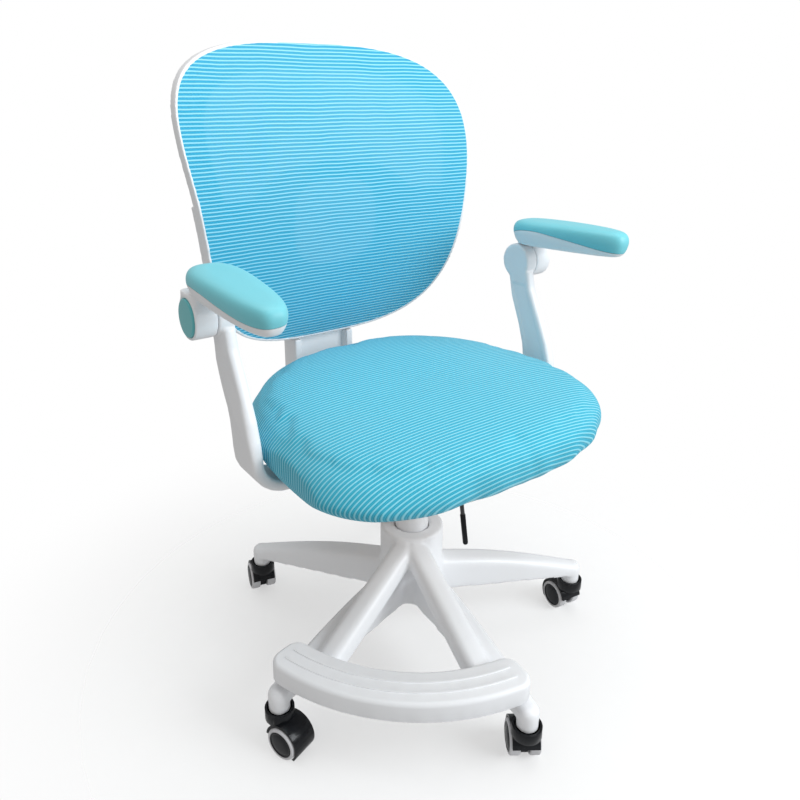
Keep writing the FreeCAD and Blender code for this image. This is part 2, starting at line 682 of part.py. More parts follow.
pin_hole = cylinder("LeverPinHole", "Sizes.pin_radius + 0.05", "120",
                    ("-60", "Sizes.lever_pivot_y", "Sizes.lever_pivot_z"), ALONG_X)
flange_holes = shaped("FlangeHoles", bolt_holes())
channel_walls = cut("ChannelWalls", fuse("ChannelSolid", [channel_outer, flanges]), channel_inside)
channel_solid = fuse("ChannelWithSeat", [channel_walls, cone_seat])
node(cut("Mechanism", channel_solid, fuse("ChannelBores", [cone_bore, pin_hole, flange_holes])),
     "mechanism_plate")


def seat_outline(share, height, slope):
    """The cushion's outline, scaled about its centre, squarer than an ellipse and narrower at the back."""
    points = []
    for angle in turns(64):
        depth = power(math.sin(angle), 2 / size("seat_square"))
        width = power(math.cos(angle), 2 / size("seat_square")) * (1 + size("seat_taper") * depth)
        x = size("seat_half_width") * share * width
        y = size("seat_half_depth") * share * depth
        points.append(Vector(x, size("seat_centre") + y, height + slope * y))
    return closed_curve(points)


def seat_pan():
    """A flat board under the cushion."""
    outline = seat_outline(size("pan_share"), size("pan_foot"), 0)
    plate = Part.Face(outline).extrude(Vector(0, 0, size("pan_top") - size("pan_foot")))
    return largest(plate.cut(bolt_holes()))


node(shaped("SeatPan", seat_pan()), "seat_pan")
node(shaped("UnderseatBolts", Part.makeCompound([bolt(spot) for spot in bolt_spots()])), "underseat_bolts")


def seat_share(height, full, squareness):
    """How wide the cushion still is at a height above or below its widest line."""
    return (1 - (height / full) ** squareness) ** (1 / squareness)


BELLY_DROPS = (44, 37, 30, 22, 14, 7)
CROWN_SHARES = (0, 0.2, 0.4, 0.55, 0.68, 0.78, 0.86, 0.92, 0.96, 0.98, 0.993, 0.998)


def seat_cushion():
    """A domed pad with a soft rim and a flat underside."""
    crown = size("seat_crown")
    beyond = size("beyond")
    levels = []
    for height in BELLY_DROPS:
        levels.append((seat_share(height, size("seat_belly_depth"), size("seat_belly")), -height))
    for share in CROWN_SHARES:
        levels.append((seat_share(share, 1, size("seat_dome")), crown * share))
    outlines = [seat_outline(share, size("seat_rim") + lift, size("seat_slope")) for share, lift in levels]
    room = Part.makeBox(2 * beyond, 2 * beyond, beyond, Vector(-beyond, -beyond, size("seat_foot") - beyond))
    return largest(loft(outlines, straight=True).cut(room))


node(shaped("SeatCushion", seat_cushion()), "seat_cushion")


# ---------------------------------------------------------------- lever

LEVER_START = Vector(3, -48, 352)
LEVER_CORNER = Vector(4, -95, 350)
LEVER_END = Vector(11, -101, 272)


def lever_rod():
    """A bent rod: forward out of the mechanism, then down."""
    start, bend, end = LEVER_START, LEVER_CORNER, LEVER_END
    radius = size("lever_bend")
    into = (bend - start).normalize()
    out = (end - bend).normalize()
    reach = radius * math.tan(into.getAngle(out) / 2)
    first = bend - into * reach
    last = bend + out * reach
    middle = bend + (out - into).normalize() * radius * (1 / math.cos(into.getAngle(out) / 2) - 1)
    path = Part.Wire([Part.LineSegment(start, first).toShape(), Part.Arc(first, middle, last).toShape(),
                      Part.LineSegment(last, end).toShape()])
    outline = Part.Wire(Part.makeCircle(size("lever_radius"), start, into))
    return path.makePipeShell([outline], True, True)


lever_bar = box("LeverBar", "Sizes.lever_bar_wide", "Sizes.lever_bar_long", "4",
                ("-Sizes.lever_bar_wide / 2", "-50", "Sizes.button_top + 0.6"))
lever_eye = cylinder("LeverEye", "Sizes.lever_eye", "24",
                     ("-12", "Sizes.lever_pivot_y", "Sizes.lever_pivot_z"), ALONG_X)
lever_eye_hole = cylinder("LeverEyeHole", "Sizes.pin_radius + Sizes.running", "60",
                          ("-30", "Sizes.lever_pivot_y", "Sizes.lever_pivot_z"), ALONG_X)
lever_solid = fuse("LeverSolid", [lever_bar, lever_eye, shaped("LeverRod", lever_rod())])
node(cut("Lever", lever_solid, lever_eye_hole), "lift_lever")


def lever_grip():
    """The sleeve on the lever's hanging end."""
    radius, length = size("grip_radius"), size("grip_length")
    along = (LEVER_END - LEVER_CORNER).normalize()
    sleeve = Part.makeCylinder(radius, length, LEVER_END, along)
    tip = Part.makeSphere(radius, LEVER_END + along * length)
    return sleeve.fuse(tip).cut(Part.makeCylinder(size("grip_bore"), 4, LEVER_END - along * 4, along))


node(shaped("LeverGrip", lever_grip()), "lever_grip")


# ---------------------------------------------------------------- arms and armrests

# behind the swivel axis, height, width of the blade
ARM_PATH = [(52, 552, 44), (45, 522, 45), (24, 478, 49), (10, 444, 54), (4, 419, 58), (2, 405, 60)]


def arm_blade():
    """The right arm's blade: a rounded band down past the cushion, then in under the seat."""
    thick, flat, wide = size("arm_thick"), size("arm_foot_thick"), size("arm_foot_wide")
    middle, edge, foot_y = size("arm_middle"), size("arm_edge"), size("arm_foot_y")
    outlines = []
    for (y, z, width), ahead in zip(ARM_PATH, ARM_PATH[1:] + [(foot_y, 380, wide)]):
        across = Vector(0, z - ahead[1], ahead[0] - y)
        place = frame_at(Vector(middle, y, z), across, Vector(1, 0, 0))
        outlines.append(moved(rounded_bar(width, thick, edge), place))
    radius = middle - size("arm_elbow")
    under = size("pan_foot") - size("gap") - flat / 2
    for angle in range(15, 105, 15):
        turn = math.radians(angle)
        outward = Vector(math.cos(turn), 0, -math.sin(turn))
        centre = Vector(size("arm_elbow"), foot_y, under + radius) + outward * radius
        slim = thick - (thick - flat) * angle / 90
        outlines.append(moved(rounded_bar(wide, slim, edge), frame_at(centre, Vector(0, 1, 0), outward)))
    tip = frame_at(Vector(size("arm_tip"), foot_y, under), Vector(0, 1, 0), Vector(0, 0, -1))
    outlines.append(moved(rounded_bar(wide, flat, edge), tip))
    return loft(outlines, straight=True)


def side_cylinder(radius, inner, outer):
    """A cylinder on the armrest hinge, between two distances from the middle."""
    return Part.makeCylinder(radius, outer - inner, Vector(inner, size("hinge_y"), size("hinge_z")),
                             Vector(1, 0, 0))


def right_arm():
    boss = side_cylinder(size("boss_radius"), size("arm_inner"), size("arm_boss_outer"))
    arm = arm_blade().fuse(boss)
    outside = size("beyond") + size("boss_radius")
    arm = arm.cut(side_cylinder(size("boss_radius") + 1, size("arm_boss_outer"), outside))
    arm = arm.cut(side_cylinder(size("hinge_pin") + size("running"), size("arm_inner") + 3, outside))
    return largest(arm.cut(bolt_holes()))


def mirrored(shape):
    return shape.mirror(ORIGIN, Vector(1, 0, 0))


def pad_outline(share, height):
    points = []
    power_of = 2 / size("pad_square")
    half, length = size("pad_half_width"), size("pad_half_length")
    for angle in turns(48):
        along = power(math.sin(angle), power_of)
        across = half * share * power(math.cos(angle), power_of) * (1 + size("pad_taper") * along)
        points.append(Vector(across, (length - half * (1 - share)) * along, height))
    place = Placement(Vector(size("pad_centre_x"), size("pad_centre_y"), 0), Rotation(UP, size("pad_toe")))
    return moved(closed_curve(points), place)


def tipped(shape, angle):
    """Turn an armrest's piece about its hinge."""
    copy = shape.copy()
    copy.rotate(Vector(0, size("hinge_y"), size("hinge_z")), Vector(1, 0, 0), angle)
    return copy


# share of a pad's full outline, at a share of its height
PAD_LEVELS = [(0.97, 0), (1, 0.28), (0.985, 0.52), (0.935, 0.72), (0.84, 0.87), (0.68, 0.955), (0.42, 1)]


def arm_pad():
    split = size("pad_split")
    rise = size("pad_top") - split
    return loft([pad_outline(share, split + rise * lift) for share, lift in PAD_LEVELS], straight=True)


def pad_base():
    """The shell under a pad, with its boss on the hinge."""
    foot, split = size("pad_foot"), size("pad_split") - size("gap")
    shell = loft([pad_outline(share, height) for share, height in
                  [(0.6, foot), (0.8, foot + 4), (0.92, foot + 11), (0.96, split)]])
    radius, inner, outer = size("boss_radius"), size("pad_boss_inner"), size("pad_boss_outer")
    near, far = size("arm_inner") - radius, size("beyond") + radius
    rise = foot + 4 - size("hinge_z")
    neck = Part.makeBox(outer - inner, 1.6 * radius, rise,
                        Vector(inner, size("hinge_y") - 0.8 * radius, size("hinge_z")))
    corners = [edge for edge in neck.Edges if abs(edge.Vertexes[0].Z - edge.Vertexes[-1].Z) > rise / 2]
    neck = neck.makeFillet(size("neck_corner"), corners)
    body = shell.multiFuse([side_cylinder(radius, inner, outer), neck])
    body = body.cut(side_cylinder(radius + 1, near, inner))
    body = body.cut(side_cylinder(size("cap_radius") + 0.4, size("cap_seat"), far))
    return largest(body.cut(side_cylinder(size("hinge_pin") + size("running"), near, far)))


def pivot_cap():
    cap = side_cylinder(size("cap_radius"), size("cap_seat") + 0.1, size("cap_outer"))
    face = [edge for edge in cap.Edges if all(abs(v.X - size("cap_outer")) < 0.01 for v in edge.Vertexes)]
    return cap.makeFillet(2, face)


right, left = size("pad_tip_right"), size("pad_tip_left")
sided = [("arm", right_arm(), 0, 0), ("pad_base", pad_base(), right, left), ("arm_pad", arm_pad(), right, left),
         ("pivot_cap", pivot_cap(), 0, 0)]
for name, shape, tip_right, tip_left in sided:
    node(shaped(name + "_r", tipped(shape, tip_right)), name + "_right")
    node(shaped(name + "_l", tipped(mirrored(shape), tip_left)), name + "_left")

hinge_pin = side_cylinder(size("hinge_pin"), size("arm_inner") + 3.1, size("cap_seat") - 0.5)
lever_pin = Part.makeCylinder(size("pin_radius"), 2 * (size("channel_half") + size("channel_wall")) + 4,
                              Vector(-size("channel_half") - size("channel_wall") - 2, size("lever_pivot_y"),
                                     size("lever_pivot_z")), Vector(1, 0, 0))
node(shaped("PivotPins", Part.makeCompound([hinge_pin, mirrored(hinge_pin), lever_pin])), "pivot_pins")


# ---------------------------------------------------------------- back


def back_depth(x, z):
    """How far behind the swivel axis the mesh's front lies."""
    dz = z - size("back_middle")
    return size("back_set") + size("back_lean") * dz + size("back_curve") * dz * dz - size("back_wrap") * x * x


def back_sheet(front, rear):
    """A sheet that follows the back's curves, from front to rear of the mesh's face."""
    wires = []
    for x in (-270, -135, 0, 135, 270):
        heights = [430 + 25 * step for step in range(21)]
        face = [Vector(x, back_depth(x, z) + front, z) for z in heights]
        behind = [Vector(x, back_depth(x, z) + rear, z) for z in heights]
        face_curve = Part.BSplineCurve()
        face_curve.interpolate(face)
        behind_curve = Part.BSplineCurve()
        behind_curve.interpolate(behind)
        wires.append(Part.Wire([face_curve.toShape(), Part.LineSegment(face[-1], behind[-1]).toShape(),
                                behind_curve.toShape(), Part.LineSegment(behind[0], face[0]).toShape()]))
    return loft(wires)


def back_prism(grow):
    """The back's outline, grown or shrunk, right through from front to rear."""
    points = []
    for angle in turns(64):
        up = power(math.sin(angle), 2 / size("back_square_z"))
        side = power(math.cos(angle), 2 / size("back_square_x"))
        spread = 1 + size("back_taper") * up + size("back_belly") * up * up
        x = (size("back_half_width") * spread + grow) * side
        points.append(Vector(x, 100, size("back_middle") + (size("back_half_height") + grow) * up))
    return Part.Face(closed_curve(points)).extrude(Vector(0, 260, 0))


def oval_prism(half, foot, top, square):
    """A squared oval, right through from front to rear."""
    points = []
    for angle in turns(40):
        x = half * power(math.cos(angle), 2 / square)
        points.append(Vector(x, 100, (foot + top) / 2 + (top - foot) / 2 * power(math.sin(angle), 2 / square)))
    return Part.Face(closed_curve(points)).extrude(Vector(0, 260, 0))


outer_prism = back_prism(size("frame_bead"))
mesh_prism = back_prism(0)
opening_prism = back_prism(-size("frame_band"))


def back_frame():
    ring = back_sheet(-size("frame_lip"), size("frame_deep")).common(outer_prism)
    seat = back_sheet(-10, size("mesh_thick") + size("gap")).common(back_prism(size("gap")))
    return ring.cut(seat).cut(opening_prism)


def upright_boss(grow):
    """The block that holds the upright's upper end."""
    wide = size("upright_half") + grow
    foot = size("back_middle") - size("back_half_height") - 2
    return Part.makeBox(2 * wide, size("upright_rear") - size("upright_front") + 2 * grow,
                        size("upright_top") + grow - foot,
                        Vector(-wide, size("upright_front") - grow, foot))


def back_support():
    """The shell behind the mesh: shoulders with an arch above, a window, and the upright's socket."""
    front = size("frame_deep") + size("gap")
    sheet_shape = back_sheet(front, front + size("support_deep"))
    beyond, arch_top = size("beyond"), size("support_arch_top")
    low = Part.makeBox(2 * beyond, 2 * beyond, size("support_shoulder"), Vector(-beyond, 0, 0))
    arch = oval_prism(size("support_arch_half"), 1200 - arch_top, arch_top, 2.6)
    window = oval_prism(size("window_half"), size("window_foot"), size("window_top"), 3)
    shell = sheet_shape.common(back_prism(size("frame_bead") - 1).common(low).fuse(arch)).cut(window)
    boss = upright_boss(size("upright_wrap")).cut(back_sheet(-120, front))
    socket = upright_boss(size("gap"))
    return largest(shell.fuse(boss).cut(socket.fuse(socket.translated(Vector(0, 0, -30)))))


def back_upright():
    """A bent flat bar: back from under the seat, then up behind the back frame, hollowed in front."""
    front, rear = size("upright_front"), size("upright_rear")
    foot, roof, top = size("upright_foot"), size("pan_foot") - size("gap"), size("upright_top")
    low_front, step = size("upright_low_front"), size("upright_step")
    inside, outside = size("upright_inner_bend"), size("upright_outer_bend")
    half = size("upright_half")
    start = size("upright_start")

    def corner(radius, y, z):
        """The arc between a level run at height z and an upright face at y."""
        centre = Vector(0, y - radius, z + radius)
        slope = radius * math.sqrt(0.5)
        return (Vector(0, y - radius, z), Vector(0, centre.y + slope, centre.z - slope), Vector(0, y, z + radius))

    under = corner(outside, rear, foot)
    over = corner(inside, low_front, roof)
    edges = [
        Part.LineSegment(Vector(0, start, foot), under[0]).toShape(),
        Part.Arc(*under).toShape(),
        Part.LineSegment(under[2], Vector(0, rear, top)).toShape(),
        Part.LineSegment(Vector(0, rear, top), Vector(0, front, top)).toShape(),
        Part.LineSegment(Vector(0, front, top), Vector(0, front, step)).toShape(),
        Part.LineSegment(Vector(0, front, step), Vector(0, low_front, step)).toShape(),
        Part.LineSegment(Vector(0, low_front, step), over[2]).toShape(),
        Part.Arc(*over).toShape(),
        Part.LineSegment(over[0], Vector(0, start, roof)).toShape(),
        Part.LineSegment(Vector(0, start, roof), Vector(0, start, foot)).toShape(),
    ]
    bar = Part.Face(Part.Wire(edges)).extrude(Vector(2 * half, 0, 0))
    bar.translate(Vector(-half, 0, 0))
    rib = size("upright_rib")
    channel = Part.makeBox(2 * (half - rib), 15, 100, Vector(rib - half, low_front - 1, roof + inside + 6))
    return largest(bar.cut(channel).cut(bolt_holes()))


BACK_SCREWS = ((205, 560), (212, 650), (120, 490))


def back_screw_spots():
    spots = [(side * x, z) for side in (-1, 1) for x, z in BACK_SCREWS]
    return [Vector(x, back_depth(x, z), z) for x, z in spots]


def rear_cylinder(spot, radius, front, rear):
    return Part.makeCylinder(radius, rear - front, Vector(spot.x, spot.y + front, spot.z), Vector(0, 1, 0))


support_rear = size("frame_deep") + size("gap") + size("support_deep")
frame_shape = back_frame()
support_shape = back_support()
screw_bits = []
for spot in back_screw_spots():
    hole = rear_cylinder(spot, size("screw_hole"), 10, support_rear + 20)
    counterbore = rear_cylinder(spot, size("back_screw_recess"), support_rear - 4, support_rear + 20)
    frame_shape = frame_shape.cut(hole)
    support_shape = support_shape.cut(hole.fuse(counterbore))
    shank = rear_cylinder(spot, size("screw_shank"), 11, support_rear - 2)
    head = rear_cylinder(spot, size("back_screw_head"), support_rear - 3.9, support_rear - 1)
    screw_bits.append(shank.fuse(head))

node(shaped("BackMesh", largest(back_sheet(0, size("mesh_thick")).common(mesh_prism))), "back_mesh")
node(shaped("BackFrame", largest(frame_shape)), "back_frame")
node(shaped("BackSupport", largest(support_shape)), "back_support")
node(shaped("BackUpright", back_upright()), "back_upright")
node(shaped("BackScrews", Part.makeCompound(screw_bits)), "back_screws")


# ---------------------------------------------------------------- castors

CASTORS = [
    # name, which leg, direction that the castor trails towards
    ("front_left", 4, -70),
    ("front_right", 0, 56),
    ("side_right", 1, 83),
    ("rear", 2, 65),
    ("side_left", 3, 76),
]


def castor_place(name, leg, heading, thing):
    """Stand a castor part, modelled with its stem on the Z axis and trailing towards +X, under its leg."""
    direction = "Sizes.base_turn + %g" % leg_angles()[leg]
    thing.Placement = Placement(ORIGIN, Rotation(UP, heading))
    return bind(thing, {
        "Placement.Base.x": "Sizes.leg_reach * sin(%s)" % direction,
        "Placement.Base.y": "-Sizes.leg_reach * cos(%s)" % direction,
    })


def across(name, radius, near, far):
    """A cylinder along the castor's axle, from near to far of its middle."""
    return cylinder(name, radius, "%s - (%s)" % (far, near), ("Sizes.trail", near, "Sizes.axle_height"), ALONG_Y)


def castor_hood(name):
    """The hood over both wheels, its middle web, the stem's bearing and the collar."""
    drum = across("HoodDrum_" + name, "Sizes.hood_radius", "-Sizes.hood_half", "Sizes.hood_half")
    bearing = cylinder("HoodBearing_" + name, "Sizes.hood_bearing", "Sizes.collar_top - Sizes.boss_foot - 4",
                       ("0", "0", "Sizes.boss_foot"))
    collar_ring = cylinder("HoodCollar_" + name, "Sizes.collar_radius", "15",
                           ("0", "0", "Sizes.collar_top - 15"))
    solid = fuse("HoodSolid_" + name, [drum, bearing, collar_ring])
    tools = [
        across("HoodLeft_" + name, "Sizes.hood_clear", "Sizes.web_half", "Sizes.web_half + 30"),
        across("HoodRight_" + name, "Sizes.hood_clear", "-Sizes.web_half - 30", "-Sizes.web_half"),
        cylinder("HoodBore_" + name, "Sizes.stem_bore", "40", ("0", "0", "Sizes.boss_foot")),
        cylinder("HoodRecess_" + name, "Sizes.collar_recess", "20", ("0", "0", "Sizes.collar_floor")),
        across("HoodEye_" + name, "Sizes.axle_radius + 0.02", "-25", "25"),
        box("HoodFloor_" + name, "80", "60", "40", ("-30", "-30", "Sizes.hood_foot - 40")),
        box("HoodFront_" + name, "60", "60", "40", ("-54", "-30", "Sizes.hood_front_foot - 40")),
    ]
    return cut("Hood_" + name, solid, fuse("HoodTools_" + name, tools))


def castor_axle(name):
    return across("Axle_" + name, "Sizes.axle_radius", "-Sizes.axle_half", "Sizes.axle_half")


def wheel_disc(name, side):
    """A wheel's disc on its side of the web; side is 1 or -1."""
    near, far = sorted([side * size("wheel_inside"), side * size("disc_outside")])
    disc = across("Disc_" + name, "Sizes.core_wheel_radius", "%g" % near, "%g" % far)
    bore_near, bore_far = sorted([0, side * size("axle_recess")])
    bore = across("DiscBore_" + name, "Sizes.axle_radius + Sizes.running", "%g" % bore_near, "%g" % bore_far)
    return cut("Wheel_" + name, disc, bore)


def tyre(name, side):
    near, far = sorted([side * size("wheel_inside"), side * size("tyre_outside")])
    ring = across("Ring_" + name, "Sizes.wheel_radius", "%g" % near, "%g" % far)
    bore = across("RingBore_" + name, "Sizes.core_wheel_radius + 0.05", "-30", "30")
    return cut("Tyre_" + name, ring, bore)


stems = []
for name, leg, heading in CASTORS:
    parts = [("castor_hood_" + name, castor_hood(name)), ("castor_axle_" + name, castor_axle(name))]
    for letter, side in (("a", 1), ("b", -1)):
        tag = name + "_" + letter
        parts.append(("wheel_disc_" + tag, wheel_disc(tag, side)))
        parts.append(("tyre_" + tag, tyre(tag, side)))
    for label, thing in parts:
        if thing.TypeId == "Part::Cylinder":
            thing = together("Group_" + label, [thing])
        castor_place(name, leg, heading, thing)
        node(thing, label)
    stem = fuse("Stem_" + name, [
        cylinder("StemShank_" + name, "Sizes.stem_bore - Sizes.running",
                 "Sizes.socket_foot + Sizes.stem_depth - Sizes.boss_foot - 1.2",
                 ("0", "0", "Sizes.boss_foot + 0.6")),
        cylinder("StemFlange_" + name, "Sizes.stem_flange", "3", ("0", "0", "Sizes.socket_foot - 3.2")),
    ])
    castor_place(name, leg, heading, stem)
    stems.append(stem)
node(together("Stems", stems), "castor_stems")


# ---------------------------------------------------------------- check and write

doc.recompute()
for thing in doc.Objects:
    if "Invalid" in thing.State or "Error" in thing.State:
        raise RuntimeError("%s did not recompute: %s" % (thing.Name, thing.State))
for thing in nodes:
    if thing.Shape.isNull() or not thing.Shape.isValid():
        raise RuntimeError("%s has no valid shape" % thing.Label)
    if not thing.Shape.Solids:
        raise RuntimeError("%s has no solid" % thing.Label)

os.makedirs("parts", exist_ok=True)
for thing in nodes:
    thing.Shape.exportStep("parts/%s.step" % thing.Label)
print("%d nodes" % len(nodes))
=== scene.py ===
"""Swivel study chair: the finished look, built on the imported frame."""

import json
import math

import bmesh
import bpy
import numpy as np
from mathutils import Matrix, Vector, noise


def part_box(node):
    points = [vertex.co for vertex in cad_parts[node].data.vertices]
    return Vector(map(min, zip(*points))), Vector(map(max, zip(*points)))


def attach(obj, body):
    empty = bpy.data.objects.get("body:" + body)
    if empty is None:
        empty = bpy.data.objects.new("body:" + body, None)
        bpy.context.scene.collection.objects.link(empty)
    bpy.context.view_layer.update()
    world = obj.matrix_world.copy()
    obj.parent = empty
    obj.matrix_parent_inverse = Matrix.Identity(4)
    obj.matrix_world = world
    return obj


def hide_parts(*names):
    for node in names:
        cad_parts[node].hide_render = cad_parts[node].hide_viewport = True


bl_info = {
    "name": "Swivel study chair",
    "version": (1, 0, 0),
    "blender": (4, 5, 0),
    "location": "3D View > Sidebar > Study chair",
    "description": "Builds the finished pieces of a swivel study chair on its frame",
    "category": "Object",
}

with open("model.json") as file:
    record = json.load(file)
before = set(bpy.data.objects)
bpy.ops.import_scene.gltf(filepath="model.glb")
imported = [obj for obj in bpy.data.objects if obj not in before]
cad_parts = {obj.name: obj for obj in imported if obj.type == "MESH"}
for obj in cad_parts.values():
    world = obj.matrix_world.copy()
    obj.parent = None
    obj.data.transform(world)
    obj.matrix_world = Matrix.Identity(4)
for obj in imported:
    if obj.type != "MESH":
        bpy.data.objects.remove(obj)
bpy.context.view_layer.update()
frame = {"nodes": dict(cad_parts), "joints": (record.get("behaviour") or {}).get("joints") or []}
NODES = frame["nodes"]
JOINTS = {joint["name"]: joint for joint in frame["joints"]}
CASTORS = ("front_left", "front_right", "side_right", "rear", "side_left")
SIDES = ("right", "left")
MM = 0.001


# ---------------------------------------------------------------- settings


class ChairShape(bpy.types.PropertyGroup):
    """Sizes of the finished pieces."""

    moulding_cell: bpy.props.FloatProperty(
        name="Moulding cell", description="Cell of the mesh that large mouldings are melted into",
        default=0.0022, min=0.001, unit="LENGTH")
    fine_cell: bpy.props.FloatProperty(
        name="Fine cell", description="Cell of the mesh that small mouldings are melted into",
        default=0.0015, min=0.0008, unit="LENGTH")
    cushion_cell: bpy.props.FloatProperty(
        name="Cushion cell", description="Cell of the cushion's cloth mesh",
        default=0.0055, min=0.003, unit="LENGTH")
    cushion_swell: bpy.props.FloatProperty(
        name="Cushion swell", description="Furthest that the cushion's cloth may swell",
        default=0.003, min=0.0, unit="LENGTH")
    seat_pitch: bpy.props.FloatProperty(
        name="Seat line pitch", description="Distance from one raised line of the seat's cover to the next",
        default=0.0058, min=0.001, unit="LENGTH")
    mesh_pitch: bpy.props.FloatProperty(
        name="Back line pitch", description="Distance from one raised line of the back's mesh to the next",
        default=0.0053, min=0.001, unit="LENGTH")


class ChairColours(bpy.types.PropertyGroup):
    """Colours of the finished pieces."""

    moulding: bpy.props.FloatVectorProperty(
        name="Mouldings", description="White mouldings", subtype="COLOR", size=3,
        default=(0.89, 0.90, 0.92), min=0, max=1)
    seat_ground: bpy.props.FloatVectorProperty(
        name="Seat cover", description="Ground of the seat's cover", subtype="COLOR", size=3,
        default=(0.040, 0.47, 0.66), min=0, max=1)
    seat_line: bpy.props.FloatVectorProperty(
        name="Seat lines", description="Raised lines of the seat's cover", subtype="COLOR", size=3,
        default=(0.34, 0.78, 0.88), min=0, max=1)
    mesh_ground: bpy.props.FloatVectorProperty(
        name="Back mesh", description="Ground of the back's mesh", subtype="COLOR", size=3,
        default=(0.030, 0.46, 0.74), min=0, max=1)
    mesh_line: bpy.props.FloatVectorProperty(
        name="Back lines", description="Raised lines of the back's mesh", subtype="COLOR", size=3,
        default=(0.36, 0.80, 0.92), min=0, max=1)
    pad: bpy.props.FloatVectorProperty(
        name="Arm pads", description="Arm pads", subtype="COLOR", size=3,
        default=(0.18, 0.62, 0.70), min=0, max=1)
    cap: bpy.props.FloatVectorProperty(
        name="Hinge caps", description="Caps on the armrests' hinges", subtype="COLOR", size=3,
        default=(0.11, 0.50, 0.53), min=0, max=1)
    tyre: bpy.props.FloatVectorProperty(
        name="Tyres", description="Castor tyres", subtype="COLOR", size=3,
        default=(0.66, 0.66, 0.68), min=0, max=1)


class ChairStage(bpy.types.PropertyGroup):
    """Lights and camera."""

    key_power: bpy.props.FloatProperty(
        name="Key light", description="Power of the large light at the front right",
        default=48, min=0, unit="POWER")
    fill_power: bpy.props.FloatProperty(
        name="Fill light", description="Power of the weak light at the left", default=3.0, min=0, unit="POWER")
    top_power: bpy.props.FloatProperty(
        name="Top light", description="Power of the light overhead", default=22, min=0, unit="POWER")
    room: bpy.props.FloatProperty(
        name="Room light", description="Strength of the even light all round", default=0.40, min=0)
    lens: bpy.props.FloatProperty(
        name="Lens", description="Focal length in millimetres", default=32.81, min=1)


def shape():
    return bpy.context.scene.chair_shape


def colours():
    return bpy.context.scene.chair_colours


# ---------------------------------------------------------------- mesh helpers


def clamped(value):
    """The nearest value from 0 to 1."""
    return max(0.0, min(1.0, value))


def own_mesh(*names):
    """A bmesh of merged copies of frame nodes."""
    bm = bmesh.new()
    for name in names:
        bm.from_mesh(NODES[name].data)
    bmesh.ops.remove_doubles(bm, verts=bm.verts, dist=1e-6)
    return bm


def as_object(name, bm):
    mesh = bpy.data.meshes.new(name)
    bm.to_mesh(mesh)
    bm.free()
    mesh.shade_smooth()
    thing = bpy.data.objects.new(name, mesh)
    bpy.context.scene.collection.objects.link(thing)
    return thing


def points_of(mesh, what="co"):
    """Every vertex's place or normal, as rows."""
    values = np.empty(len(mesh.vertices) * 3)
    mesh.vertices.foreach_get(what, values)
    return values.reshape(-1, 3)


def baked(thing):
    """Apply every modifier of thing."""
    graph = bpy.context.evaluated_depsgraph_get()
    mesh = bpy.data.meshes.new_from_object(thing.evaluated_get(graph))
    old = thing.data
    thing.modifiers.clear()
    thing.data = mesh
    mesh.name = thing.name
    bpy.data.meshes.remove(old)
    return thing


def remeshed(thing, cell):
    remesh = thing.modifiers.new("Remesh", "REMESH")
    remesh.mode = "VOXEL"
    remesh.voxel_size = cell
    remesh.use_smooth_shade = True
    return baked(thing)


def melted(name, bm, cell, rounds):
    """One closed moulding with soft joints, from solids that may run into each other."""
    thing = remeshed(as_object(name, bm), cell)
    smooth = thing.modifiers.new("Smooth", "SMOOTH")
    smooth.factor = 0.5
    smooth.iterations = rounds
    baked(thing)
    thing.data.shade_smooth()
    return thing


def eased(thing, share, rounds):
    """Smooth thing further wherever share, which takes a point, gives more than 0."""
    soft = thing.vertex_groups.new(name="soft")
    for vert in thing.data.vertices:
        weight = clamped(share(vert.co))
        if weight > 0:
            soft.add([vert.index], weight, "REPLACE")
    smooth = thing.modifiers.new("Ease", "SMOOTH")
    smooth.factor = 0.5
    smooth.iterations = rounds
    smooth.vertex_group = soft.name
    return baked(thing)


def edged(thing, width, angle=35, segments=2):
    """Round the sharp edges of thing and keep its flats flat."""
    bevel = thing.modifiers.new("Bevel", "BEVEL")
    bevel.width = width
    bevel.segments = segments
    bevel.limit_method = "ANGLE"
    bevel.angle_limit = math.radians(angle)
    bevel.harden_normals = True
    return baked(thing)


def turned_profile(name, profile, steps):
    """A solid of revolution about Y; profile holds (radius, y) from axis to axis or as a closed ring."""
    bm = bmesh.new()
    verts = [bm.verts.new((radius, y, 0)) for radius, y in profile]
    closed = profile[0][0] > 0 and profile[-1][0] > 0
    pairs = list(zip(verts, verts[1:] + verts[:1])) if closed else list(zip(verts, verts[1:]))
    edges = [bm.edges.new(pair) for pair in pairs]
    bmesh.ops.spin(bm, geom=verts + edges, axis=(0, 1, 0), cent=(0, 0, 0), angle=2 * math.pi, steps=steps,
                   use_merge=True, use_duplicate=False)
    bmesh.ops.remove_doubles(bm, verts=bm.verts, dist=1e-6)
    bmesh.ops.recalc_face_normals(bm, faces=bm.faces)
    return as_object(name, bm)


def finished(thing, body, slot, material, *replaced):
    """Give a piece its material and body, and hide the frame nodes that it stands for; slot is not used."""
    thing.data.materials.clear()
    thing.data.materials.append(material)
    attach(thing, body)
    if replaced:
        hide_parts(*replaced)
    return thing


def dressed(material, *names):
    """Give frame nodes a finished material."""
    for name in names:
        NODES[name].data.materials.clear()
        NODES[name].data.materials.append(material)


# ---------------------------------------------------------------- material helpers


def group(name, inputs, outputs, build):
    """The shader node group called name, built the first time it is wanted."""
    tree = bpy.data.node_groups.get(name)
    if tree:
        return tree
    tree = bpy.data.node_groups.new(name, "ShaderNodeTree")
    for label, kind, value in inputs:
        socket = tree.interface.new_socket(label, in_out="INPUT", socket_type=kind)
        if value is not None:
            socket.default_value = value
    for label, kind in outputs:
        tree.interface.new_socket(label, in_out="OUTPUT", socket_type=kind)
    entry = tree.nodes.new("NodeGroupInput")
    leave = tree.nodes.new("NodeGroupOutput")
    build(tree, entry.outputs, leave.inputs)
    return tree


